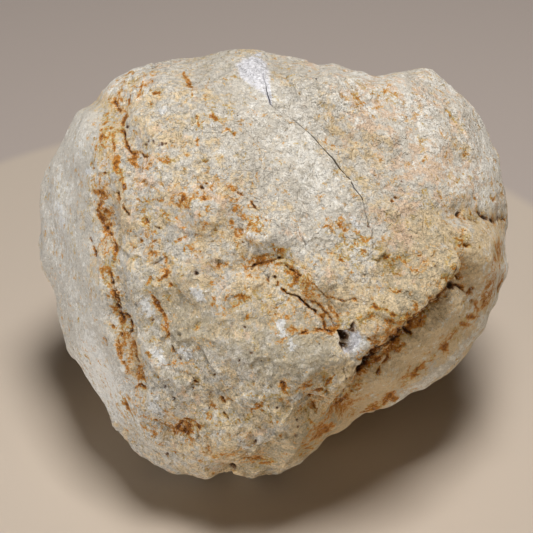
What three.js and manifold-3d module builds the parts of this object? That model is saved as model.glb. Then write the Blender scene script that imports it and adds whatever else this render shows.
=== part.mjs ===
// A rounded, rough-skinned calcite geode, cracked right through into two halves that sit closed.
//
// The stone is drawn in the frame of its broad face: x across the face, y up the face and z out
// of it. Every direction from the middle has one reach, so the skin is a single closed surface.
// The face is then tilted to look partly upwards, the underside is ground flat where the stone
// rests, and the fracture parts it into a large and a small half.

import * as THREE from "three";
import { ImprovedNoise } from "three/addons/math/ImprovedNoise.js";
import { mergeVertices } from "three/addons/utils/BufferGeometryUtils.js";
import Module from "manifold-3d";

const wasm = await Module();
wasm.setup();

// Driving dimensions, in millimetres and degrees

const FRONT_REACH = 46; // the middle of the stone to its broad face
const BACK_REACH = 44; // the middle of the stone to its far side
const FACE_TILT = 35; // how far above the horizon the broad face looks
const FOOT_CUT = 2.4; // height worn off the underside at the flat spot it rests on
const FRACTURE_GAP = 0.3; // between the two closed halves
const ROUNDNESS = 2.3; // 2 would be an ellipsoid, and more is boxier
const FACET_SHARPNESS = 22; // how crisply the broad facets meet

const SKIN_DETAIL = 18; // splits of each icosahedron edge
const FACE_DENSITY = 0.22; // how far the mesh is crowded towards the broad face

// Outline of the stone seen square to the broad face, anticlockwise: [x, y]
const OUTLINE = [
  [55.0, 6.5], [55.0, 13.5], [52.8, 25.5], [50.2, 32.0], [47.0, 37.6], [41.5, 41.6], [36.6, 44.9],
  [29.8, 45.6], [24.8, 43.6], [15.4, 45.8], [3.5, 47.8], [-6.8, 49.4], [-17.2, 48.2],
  [-22.8, 47.0], [-32.2, 45.0], [-38.2, 41.6], [-43.4, 38.6], [-48.6, 33.8], [-50.2, 29.6],
  [-53.8, 27.4], [-56.2, 21.6], [-56.8, 12.0], [-56.4, 1.0], [-54.4, -4.4], [-53.2, -9.6],
  [-52.2, -15.8], [-50.4, -20.6], [-46.0, -25.2], [-42.8, -30.4], [-39.4, -36.2],
  [-34.8, -42.4], [-28.0, -46.6], [-21.6, -49.4], [-13.6, -49.9], [-10.2, -47.9],
  [-6.2, -49.9], [1.2, -49.2], [5.4, -46.4], [9.8, -42.0], [17.2, -36.6], [27.4, -31.8],
  [35.6, -27.0], [42.2, -22.0], [48.6, -14.2], [51.4, -8.2], [53.4, -1.2],
];

// Broad planes that trim the rounded form: the way each one looks, and its reach from the middle
const FACETS = [
  { looks: [-0.91, 0.02, 0.42], reach: 48.6 }, // left flank, seen at a grazing angle
  { looks: [-0.83, -0.4, 0.39], reach: 47.6 }, // left flank, lower down
  { looks: [0.25, 0.38, 0.89], reach: 42.6 }, // upper face, smooth and even
  { looks: [-0.28, -0.24, 0.93], reach: 42.2 }, // lower left face, lumpy
  { looks: [0.62, -0.55, 0.56], reach: 46.0 }, // under the ledge
  { looks: [-0.05, -0.88, 0.46], reach: 47.5 }, // toe
  { looks: [0.8, 0.32, 0.5], reach: 52.0 }, // right shoulder
  { looks: [0.05, -0.82, -0.57], reach: 43.4 }, // underside
  { looks: [0.1, 0.8, -0.6], reach: 43.5 }, // back of the crown
  { looks: [0.62, 0.1, -0.78], reach: 44.0 }, // back right
  { looks: [-0.52, 0.25, -0.82], reach: 42.5 }, // back left
  { looks: [0.1, -0.35, -0.93], reach: 40.0 }, // back
];

// Swellings and hollows of the skin: where, how wide and how high (a hollow is below zero)
const LUMPS = [
  { at: [-12.7, 12.0, 41], spread: 5.0, rise: 1.4 },
  { at: [-29.5, -1.5, 33], spread: 5.0, rise: 1.5 },
  { at: [-17.5, -3.5, 40], spread: 4.5, rise: 1.3 },
  { at: [-13.5, -18.5, 38], spread: 9.0, rise: 2.0 },
  { at: [9.0, -18.0, 37], spread: 5.5, rise: 1.8 },
  { at: [4.0, 6.5, 42], spread: 6.5, rise: 1.2 },
  { at: [22.0, 4.5, 38], spread: 5.0, rise: 1.2 },
  { at: [33.5, 1.0, 31], spread: 5.0, rise: 1.8 },
  { at: [-10.5, -40.0, 22], spread: 7.0, rise: 1.6 },
  { at: [-29.5, -32.5, 18], spread: 5.0, rise: 1.4 },
  { at: [-28.0, 31.0, 26], spread: 8.0, rise: 1.2 },
  { at: [46.0, 2.5, 16], spread: 5.0, rise: 1.4 },
  { at: [-52.0, 22.0, -12], spread: 7.0, rise: 1.8 },
  { at: [36.0, 36.0, 4], spread: 9.0, rise: 1.6 },
  { at: [8.0, 30.0, -34], spread: 13.0, rise: 3.0 },
  { at: [-30.0, -8.0, -34], spread: 12.0, rise: 2.6 },
  { at: [28.0, -14.0, -32], spread: 11.0, rise: 2.4 },
  { at: [-34.0, 28.0, -24], spread: 9.0, rise: 2.0 },
  { at: [-23.0, 6.5, 38], spread: 6.0, rise: -1.4 },
  { at: [-6.5, 8.0, 43], spread: 4.0, rise: -1.0 },
  { at: [0.0, -3.0, 43], spread: 4.5, rise: -1.4 },
  { at: [-18.5, -35.0, 27], spread: 3.8, rise: -2.6 },
  { at: [-10.5, -29.5, 33], spread: 4.0, rise: -1.5 },
  { at: [5.0, -27.5, 33], spread: 5.0, rise: -1.6 },
  { at: [-33.5, -11.0, 29], spread: 4.0, rise: -2.0 },
  { at: [-29.5, 25.0, 30], spread: 4.5, rise: -1.4 },
  { at: [-36.5, 9.0, 28], spread: 4.0, rise: -1.3 },
  { at: [41.0, 23.0, 22], spread: 6.0, rise: -1.3 },
  { at: [24.0, 42.0, 6], spread: 5.0, rise: -1.5 },
  { at: [15.5, -15.5, 37], spread: 3.2, rise: -4.2 }, // chip broken out of the fracture
  { at: [-9.5, -48.5, 4], spread: 3.0, rise: -2.0 },
  { at: [14.0, 8.0, -42], spread: 8.0, rise: -2.4 },
  { at: [-14.0, 10.0, -42], spread: 7.0, rise: -1.8 },
  { at: [-6.0, -22.0, -38], spread: 8.0, rise: -1.8 },
  { at: [9.0, -31.0, -31], spread: 11.0, rise: 2.0 }, // keeps the flat spot under the middle
  { at: [-24.0, -43.0, -9], spread: 10.0, rise: -2.2 },
];

// Grooves along the face: [x, y] down the middle of each one, how wide and how deep
const GROOVES = [
  { path: [[-34.5, 35], [-31.5, 27], [-31, 23], [-36, 15], [-37, 9]], width: 2.6, depth: 3.2 },
  { path: [[-37, 9], [-34, 1], [-33.5, -9], [-31, -16], [-29, -24]], width: 2.6, depth: 3.2 },
  { path: [[-31, 23], [-27, 25], [-22, 26]], width: 2.0, depth: 1.2 },
  { path: [[-8.5, 16], [-2.5, 10.5]], width: 1.8, depth: 1.0 },
  { path: [[-5, 0], [1.5, 1.5], [4, -4], [8, -9], [12, -13.5]], width: 2.2, depth: 2.6 },
  { path: [[37, 10.5], [41, 11.5], [45, 9.5], [52, 9.5]], width: 2.2, depth: 2.6 },
  { path: [[39.5, 5.5], [39, 1]], width: 2.0, depth: 1.4 },
  { path: [[-20, -19], [-16, -24.5]], width: 1.8, depth: 1.2 },
];

// The front plate ends in a ledge that runs down to the right, and the skin below it is set back
const LEDGE = [
  [40.5, 3.5], [39.0, 0.0], [37.5, -3.5], [33.5, -7.0], [30.0, -10.0], [25.5, -14.5],
  [19.0, -20.5], [16.5, -25.5], [13.0, -31.0], [10.5, -35.5],
];
const LEDGE_DROP = { height: 2.4, fade: 17 }; // the skin below it lies this much deeper
const LEDGE_CREVICE = { height: 4.2, fade: 4.6 }; // and there is a crevice at its foot
const LEDGE_RAMP = 1.2; // half the width over which the skin drops
const LEDGE_TAPER = 7; // the ledge dies out over this length at each end
const FACE_CUT_FADE = [-9, 3]; // grooves and ledge die out between these depths behind the face

// The fracture seen square to the face, from above the crown to below the toe: [x, y]
const FRACTURE = [
  [-4.5, 62], [-2.5, 46], [-1.5, 38], [1.0, 32], [9.0, 25], [14.5, 19], [19.0, 12], [21.0, 5],
  [19.5, -3], [18.5, -8], [16.0, -14], [14.5, -21], [13.5, -26.5], [9.5, -33], [6.0, -46], [5.0, -64],
];
const FRACTURE_SWAY = 2.2; // how far the fracture wanders on its way through the stone
const FRACTURE_SWAY_LENGTH = 40;
const FRACTURE_DEPTH = 130; // more than the stone is thick
const FRACTURE_STEPS = 22;
const OUTSIDE = 90; // clear of the stone on every side

// Fine relief of the skin: wavelength and height of each layer
const RELIEF = [
  { wavelength: 17, height: 2.0 },
  { wavelength: 7.5, height: 1.5 },
];
const RELIEF_SEED = 31.7; // place of the stone in the noise field, in wavelengths

// Working values

const CRUST_COLORS = { large: "#cbbfa8", small: "#cfbda3" };
const CRUST_ROUGHNESS = 0.85;
const OUTLINE_SAMPLES = 720; // places around the middle where the outline's reach is kept
const CURVE_POINTS = 4 * OUTLINE_SAMPLES;
const MERGE_DISTANCE = 1e-4;
const FULL_TURN = 2 * Math.PI;
const LEFT = -1;
const RIGHT = 1;
const noise = new ImprovedNoise();
const outlineReach = outlineReaches();
const facets = FACETS.map(({ looks, reach }) => ({
  normal: new THREE.Vector3(...looks).normalize(),
  reach,
}));

/** The outline's reach at evenly spaced angles around the middle. */
function outlineReaches() {
  const corners = OUTLINE.map(([x, y]) => new THREE.Vector3(x, y, 0));
  const curve = new THREE.CatmullRomCurve3(corners, true, "centripetal");
  const reaches = new Array(OUTLINE_SAMPLES).fill(0);
  for (const { x, y } of curve.getPoints(CURVE_POINTS)) {
    reaches[Math.round(angleSlot(x, y)) % OUTLINE_SAMPLES] = Math.hypot(x, y);
  }
  return reaches;
}

/** The direction x, y as a place in the list of outline reaches. */
function angleSlot(x, y) {
  return THREE.MathUtils.euclideanModulo(Math.atan2(y, x) / FULL_TURN, 1) * OUTLINE_SAMPLES;
}

/** Reach of the outline in the direction x, y, read between the two nearest samples. */
function reachAround(x, y) {
  const slot = angleSlot(x, y);
  const low = Math.floor(slot) % OUTLINE_SAMPLES;
  const high = (low + 1) % OUTLINE_SAMPLES;
  return THREE.MathUtils.lerp(outlineReach[low], outlineReach[high], slot - Math.floor(slot));
}

/** Reach of the bare form in one direction, before any relief. */
function formReach(direction) {
  const side = Math.hypot(direction.x, direction.y) / reachAround(direction.x, direction.y);
  const cap = Math.abs(direction.z) / (direction.z > 0 ? FRONT_REACH : BACK_REACH);
  const round = (side ** ROUNDNESS + cap ** ROUNDNESS) ** (1 / ROUNDNESS);
  let total = round ** FACET_SHARPNESS;
  for (const { normal, reach } of facets) {
    total += Math.max(0, direction.dot(normal) / reach) ** FACET_SHARPNESS;
  }
  return total ** (-1 / FACET_SHARPNESS);
}

/** How x, y lies beside a path: its distance, which side it is on and how far it is from an end. */
function besidePath(path, x, y) {
  let nearest = { distance: Infinity };
  let walked = 0;
  for (let i = 0; i + 1 < path.length; i++) {
    const [ax, ay] = path[i];
    const [bx, by] = path[i + 1];
    const dx = bx - ax;
    const dy = by - ay;
    const along = THREE.MathUtils.clamp(((x - ax) * dx + (y - ay) * dy) / (dx * dx + dy * dy), 0, 1);
    const offX = x - ax - along * dx;
    const offY = y - ay - along * dy;
    const distance = Math.hypot(offX, offY);
    const length = Math.hypot(dx, dy);
    if (distance < nearest.distance) {
      nearest = { distance, side: Math.sign(dx * offY - dy * offX), fromStart: walked + along * length };
    }
    walked += length;
  }
  return { ...nearest, fromEnd: Math.min(nearest.fromStart, walked - nearest.fromStart) };
}

const bell = (distance, width) => Math.exp(-((distance / width) ** 2));

/** Swellings and hollows at a point of the skin. */
function lumpRise(point) {
  let rise = 0;
  for (const lump of LUMPS) {
    const distance = Math.hypot(point.x - lump.at[0], point.y - lump.at[1], point.z - lump.at[2]);
    rise += lump.rise * bell(distance, lump.spread);
  }
  return rise;
}

/** How far the skin is set back beside the ledge. */
function ledgeDepth(point) {
  const { distance, side, fromEnd } = besidePath(LEDGE, point.x, point.y);
  const below = THREE.MathUtils.smoothstep(side * distance, -LEDGE_RAMP, LEDGE_RAMP);
  const taper = THREE.MathUtils.smoothstep(fromEnd, 0, LEDGE_TAPER);
  const drop = LEDGE_DROP.height * bell(distance, LEDGE_DROP.fade);
  const crevice = LEDGE_CREVICE.height * bell(distance, LEDGE_CREVICE.fade);
  return below * taper * (drop + crevice);
}

/** Grooves and the ledge, which are cut straight into the broad face. */
function faceRise(point) {
  const strength = THREE.MathUtils.smoothstep(point.z, ...FACE_CUT_FADE);
  if (strength === 0) return 0;
  let rise = 0;
  for (const { path, width, depth } of GROOVES) {
    rise -= depth * bell(besidePath(path, point.x, point.y).distance, width);
  }
  return strength * (rise - ledgeDepth(point));
}

/** Uneven skin all over the stone. */
function skinRise(point) {
  let rise = 0;
  for (const { wavelength, height } of RELIEF) {
    const [x, y, z] = point.toArray().map((value) => value / wavelength + RELIEF_SEED);
    rise += height * noise.noise(x, y, z);
  }
  return rise;
}

/** The skin of the whole stone, in the frame of its face. */
function wholeSkin() {
  const skin = new THREE.IcosahedronGeometry(1, SKIN_DETAIL);
  const vertices = skin.getAttribute("position");
  const direction = new THREE.Vector3();
  const point = new THREE.Vector3();
  for (let i = 0; i < vertices.count; i++) {
    direction.fromBufferAttribute(vertices, i);
    direction.z += FACE_DENSITY;
    direction.normalize();
    point.copy(direction).multiplyScalar(formReach(direction));
    const rise = lumpRise(point) + faceRise(point) + skinRise(point);
    point.addScaledVector(direction, rise);
    vertices.setXYZ(i, ...point);
  }
  return skin;
}

/** Everything to the left or the right of the fracture, in the frame of the face. */
function fractureBlock(side) {
  const shift = (side * FRACTURE_GAP) / 2;
  const outline = FRACTURE.map(([x, y]) => new THREE.Vector2(x + shift, y));
  outline.push(new THREE.Vector2(side * OUTSIDE, -OUTSIDE), new THREE.Vector2(side * OUTSIDE, OUTSIDE));
  const block = new THREE.ExtrudeGeometry(new THREE.Shape(outline), {
    depth: FRACTURE_DEPTH,
    steps: FRACTURE_STEPS,
    bevelEnabled: false,
  });
  block.translate(0, 0, -FRACTURE_DEPTH / 2);
  const vertices = block.getAttribute("position");
  for (let i = 0; i < vertices.count; i++) {
    const sway = FRACTURE_SWAY * Math.sin((FULL_TURN * vertices.getZ(i)) / FRACTURE_SWAY_LENGTH);
    vertices.setX(i, vertices.getX(i) + sway);
  }
  return block;
}

/** A closed geometry drawn in the frame of the face, as a solid standing the way the stone rests. */
function standing(geometry) {
  return solidOf(geometry.rotateX(THREE.MathUtils.degToRad(90 - FACE_TILT)));
}

/** A closed geometry as a solid for joining and cutting. */
function solidOf(geometry) {
  const bare = geometry.clone();
  bare.deleteAttribute("normal");
  bare.deleteAttribute("uv");
  const merged = mergeVertices(bare, MERGE_DISTANCE);
  const vertProperties = merged.getAttribute("position").array;
  const triVerts = new Uint32Array(merged.index.array);
  return new wasm.Manifold(new wasm.Mesh({ numProp: 3, vertProperties, triVerts }));
}

/** A solid as a geometry with normals. */
function geometryOf(solid) {
  const { vertProperties, triVerts } = solid.getMesh();
  const geometry = new THREE.BufferGeometry();
  geometry.setAttribute("position", new THREE.BufferAttribute(vertProperties, 3));
  geometry.setIndex(new THREE.BufferAttribute(triVerts, 1));
  geometry.computeVertexNormals();
  return geometry;
}

/** The box around a solid. */
function boxOf(solid) {
  const geometry = geometryOf(solid);
  geometry.computeBoundingBox();
  return geometry.boundingBox;
}

/** The stone with the lowest part of its underside ground flat. */
function groundFlat(solid) {
  const floor = boxOf(solid).min.z + FOOT_CUT;
  const ground = new THREE.BoxGeometry(2 * OUTSIDE, 2 * OUTSIDE, OUTSIDE);
  ground.translate(0, 0, floor - OUTSIDE / 2);
  return solid.subtract(solidOf(ground));
}

/** The move that puts the middle of the base at the origin. */
function centring(solid) {
  const { min, max } = boxOf(solid);
  return new THREE.Vector3(-(min.x + max.x) / 2, -(min.y + max.y) / 2, -min.z);
}

/** One half of the stone as a named mesh. */
function half(name, solid, color) {
  const finish = { color, roughness: CRUST_ROUGHNESS, metalness: 0 };
  const mesh = new THREE.Mesh(geometryOf(solid), new THREE.MeshStandardMaterial(finish));
  mesh.name = name;
  return mesh;
}

const stone = groundFlat(standing(wholeSkin()));
const geode = new THREE.Group();
geode.position.copy(centring(stone));
geode.add(half("large_half", stone.intersect(standing(fractureBlock(LEFT))), CRUST_COLORS.large));
geode.add(half("small_half", stone.intersect(standing(fractureBlock(RIGHT))), CRUST_COLORS.small));

export default geode;
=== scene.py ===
"""A cracked calcite geode: the rough, iron-stained crust that both packed halves wear.

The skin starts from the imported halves. A fine grid of directions from the stone's middle is laid on
them, every lump, ledge, crevice and grain is a change of reach along its direction, and the dressed
stone is then split along its fracture. Lengths are in millimetres where a name doesn't say otherwise,
and MM turns them into Blender's metres. Places read from the photograph are in its pixels.
"""

import itertools
import math

import bmesh
import bpy
import numpy as np
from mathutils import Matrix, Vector
from mathutils.bvhtree import BVHTree
from mathutils.kdtree import KDTree


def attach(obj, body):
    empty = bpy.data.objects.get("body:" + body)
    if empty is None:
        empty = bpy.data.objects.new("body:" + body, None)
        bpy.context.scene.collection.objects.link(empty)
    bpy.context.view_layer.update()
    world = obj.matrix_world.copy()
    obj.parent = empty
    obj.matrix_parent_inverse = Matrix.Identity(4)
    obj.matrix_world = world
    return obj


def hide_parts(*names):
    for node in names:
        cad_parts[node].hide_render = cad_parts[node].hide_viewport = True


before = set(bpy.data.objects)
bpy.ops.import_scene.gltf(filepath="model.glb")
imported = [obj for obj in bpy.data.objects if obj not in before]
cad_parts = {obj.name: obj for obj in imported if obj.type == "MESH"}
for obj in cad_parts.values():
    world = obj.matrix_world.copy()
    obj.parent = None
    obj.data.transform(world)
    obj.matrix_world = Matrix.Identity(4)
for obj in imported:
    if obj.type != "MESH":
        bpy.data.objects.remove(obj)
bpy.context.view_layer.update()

MM = 0.001

# --- the photograph's camera and the stone's face frame ---------------------------------------------
IMAGE = 533                                      # side of the photograph, in pixels
TILT = math.radians(35)                          # how far down the camera looks
RIGHT = np.array([1.0, 0.0, 0.0])
UP = np.array([0.0, math.sin(TILT), math.cos(TILT)])
OUT = np.array([0.0, -math.cos(TILT), math.sin(TILT)])
MIDDLE = np.array([0.327, 0.372, 42.6]) * MM     # where the face frame starts, as in the CAD source
LENS, SENSOR = 100.0, 36.0
AIM_RIGHT, AIM_UP, AWAY = -1.75, -0.35, 345      # mm from the middle to where it aims, and back from there
CAMERA_PLACE = MIDDLE + (AIM_RIGHT * RIGHT + AIM_UP * UP) * MM + OUT * AWAY * MM


def photo_place(points):
    """Where points fall in the photograph, in its pixels."""
    seen = points - CAMERA_PLACE
    scale = IMAGE * LENS / SENSOR / -(seen @ OUT)
    return np.stack([IMAGE / 2 + seen @ RIGHT * scale, IMAGE / 2 - seen @ UP * scale], axis=-1)


# --- repeatable noise --------------------------------------------------------------------------------
CORNERS = list(itertools.product((0, 1), repeat=3))
AROUND = list(itertools.product((-1, 0, 1), repeat=3))
AXIS_KEYS = [np.uint32(key) for key in (0x8DA6B343, 0xD8163841, 0xCB1AB31F)]
SALT_KEY, SALT_START = 0x9E3779B9, 0x7F4A7C15
MIXERS = [(np.uint32(shift), np.uint32(key)) for shift, key in ((15, 0x2C1B3C6D), (12, 0x297A2D39))]
GAIN = 0.5                                       # strength of each finer layer against the one before
NOISE_SCALE, ROUGH_SCALE, CREASED_SCALE = 1.7, 1.3, 1.6      # bring each kind of noise up to about 1
LEAN = 1.5                                       # how steeply broken plates lean


def rise(x, low, high):
    """0 below low, 1 above high, and an S-curve between them."""
    t = np.clip((x - low) / (high - low), 0, 1)
    return t * t * (3 - 2 * t)


def chance(cells, salt):
    """A repeatable random number from 0 to 1 for each whole-numbered cell."""
    whole = cells.astype(np.int64).astype(np.uint32)
    x, y, z = (whole[..., axis] * key for axis, key in enumerate(AXIS_KEYS))
    n = (x ^ y ^ z) + np.uint32((salt * SALT_KEY + SALT_START) % 2**32)
    for shift, key in MIXERS:
        n = (n ^ (n >> shift)) * key
    return (n ^ (n >> MIXERS[0][0])) / 2**32


def several(field, salt, axes=3):
    """A field's values for as many salts as there are axes, as vectors."""
    return np.stack([field(salt + axis) for axis in range(axes)], axis=-1)


def noise(points, salt):
    """Gradient noise, about -1 to 1, with lumps of unit size."""
    cell = np.floor(points)
    part = points - cell
    ease = part**3 * (part * (part * 6 - 15) + 10)
    total = np.zeros(len(points))
    for corner in CORNERS:
        turn = chance(cell + corner, salt) * 2 * math.pi
        height = chance(cell + corner, salt + 1) * 2 - 1
        ring = np.sqrt(1 - height**2)
        away = part - corner
        slope = (np.cos(turn) * away[:, 0] + np.sin(turn) * away[:, 1]) * ring + height * away[:, 2]
        total += np.prod(np.where(corner, ease, 1 - ease), axis=1) * slope
    return total * NOISE_SCALE


def layered(points, size, count, salt, shape):
    """Noise of several sizes, from size downwards, each layer shaped. points are in mm."""
    layers = [shape(noise(points * 2**n / size, salt + 7 * n)) * GAIN**n for n in range(count)]
    return sum(layers) / sum(GAIN**n for n in range(count))


def rough(points, size, count, salt):
    """Plain layered noise, about -1 to 1."""
    return layered(points, size, count, salt, lambda value: value) * ROUGH_SCALE


def creased(points, size, count, salt):
    """Rounded swells with sharp creases between them, 0 in the creases to 1."""
    return layered(points, size, count, salt, lambda value: np.minimum(np.abs(value) * CREASED_SCALE, 1))


def plates(points, size, salt, soft):
    """Broken plates: their heights, -1 to 1, and the distance from their borders, 0 to 1."""
    spots = points / size
    cell = np.floor(spots)
    first, second, weight_sum, height_sum = np.array([[9.0], [9.0], [0.0], [0.0]]) * np.ones(len(points))
    for offset in AROUND:
        near = cell + offset
        away = spots - (near + several(lambda key: chance(near, key), salt))
        distance = np.linalg.norm(away, axis=1)
        lean = several(lambda key: chance(near, key), salt + 3) * 2 - 1
        weight = np.exp(-soft * distance**2)
        height_sum += weight * (np.sum(lean * away, axis=1) * LEAN + chance(near, salt + 6) - 0.5)
        weight_sum += weight
        second = np.minimum(second, np.maximum(first, distance))
        first = np.minimum(first, distance)
    return height_sum / weight_sum, np.clip(second - first, 0, 1)


# --- what the photograph shows, in its pixels --------------------------------------------------------
# The ledge that the crust breaks off along: the skin on its lower right lies deeper.
LEDGE = [(463, 244), (461, 252), (456, 266), (451, 281), (443, 290), (434, 299), (424, 307), (414, 314),
         (405, 322), (393, 337), (381, 346), (365, 362), (356, 374), (351, 388), (338, 400), (330, 415),
         (315, 430), (300, 455), (290, 470)]

# The fracture from the crown to the ledge, and how far it gapes there in mm.
FRACTURE = [(263, 52, 0.1), (264, 68, 0.1), (265, 85, 0.1), (267, 95, 0.3), (270, 105, 0.45),
            (273, 107, 0.1), (281, 113, 0.08), (294, 120, 0.15), (304, 130, 0.2), (309, 134, 0.25),
            (318, 143, 0.3), (323, 148, 0.2), (329, 154, 0.45), (334, 159, 0.5), (339, 168, 0.5),
            (342, 171, 0.12), (344, 173, 0.35), (350, 179, 0.45), (355, 189, 0.4), (362, 199, 0.3),
            (364, 208, 0.1), (369, 226, 0.15), (372, 232, 0.1), (372, 241, 0.22), (373, 249, 0.22),
            (368, 257, 0.12), (366, 268, 0.12), (365, 284, 0.06), (361, 299, 0.04), (357, 312, 0.04),
            (351, 322, 0.04), (342, 336, 0.04), (343, 350, 0.04), (343, 369, 0.16), (346, 378, 0.1),
            (350, 385, 0.1)]

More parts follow.
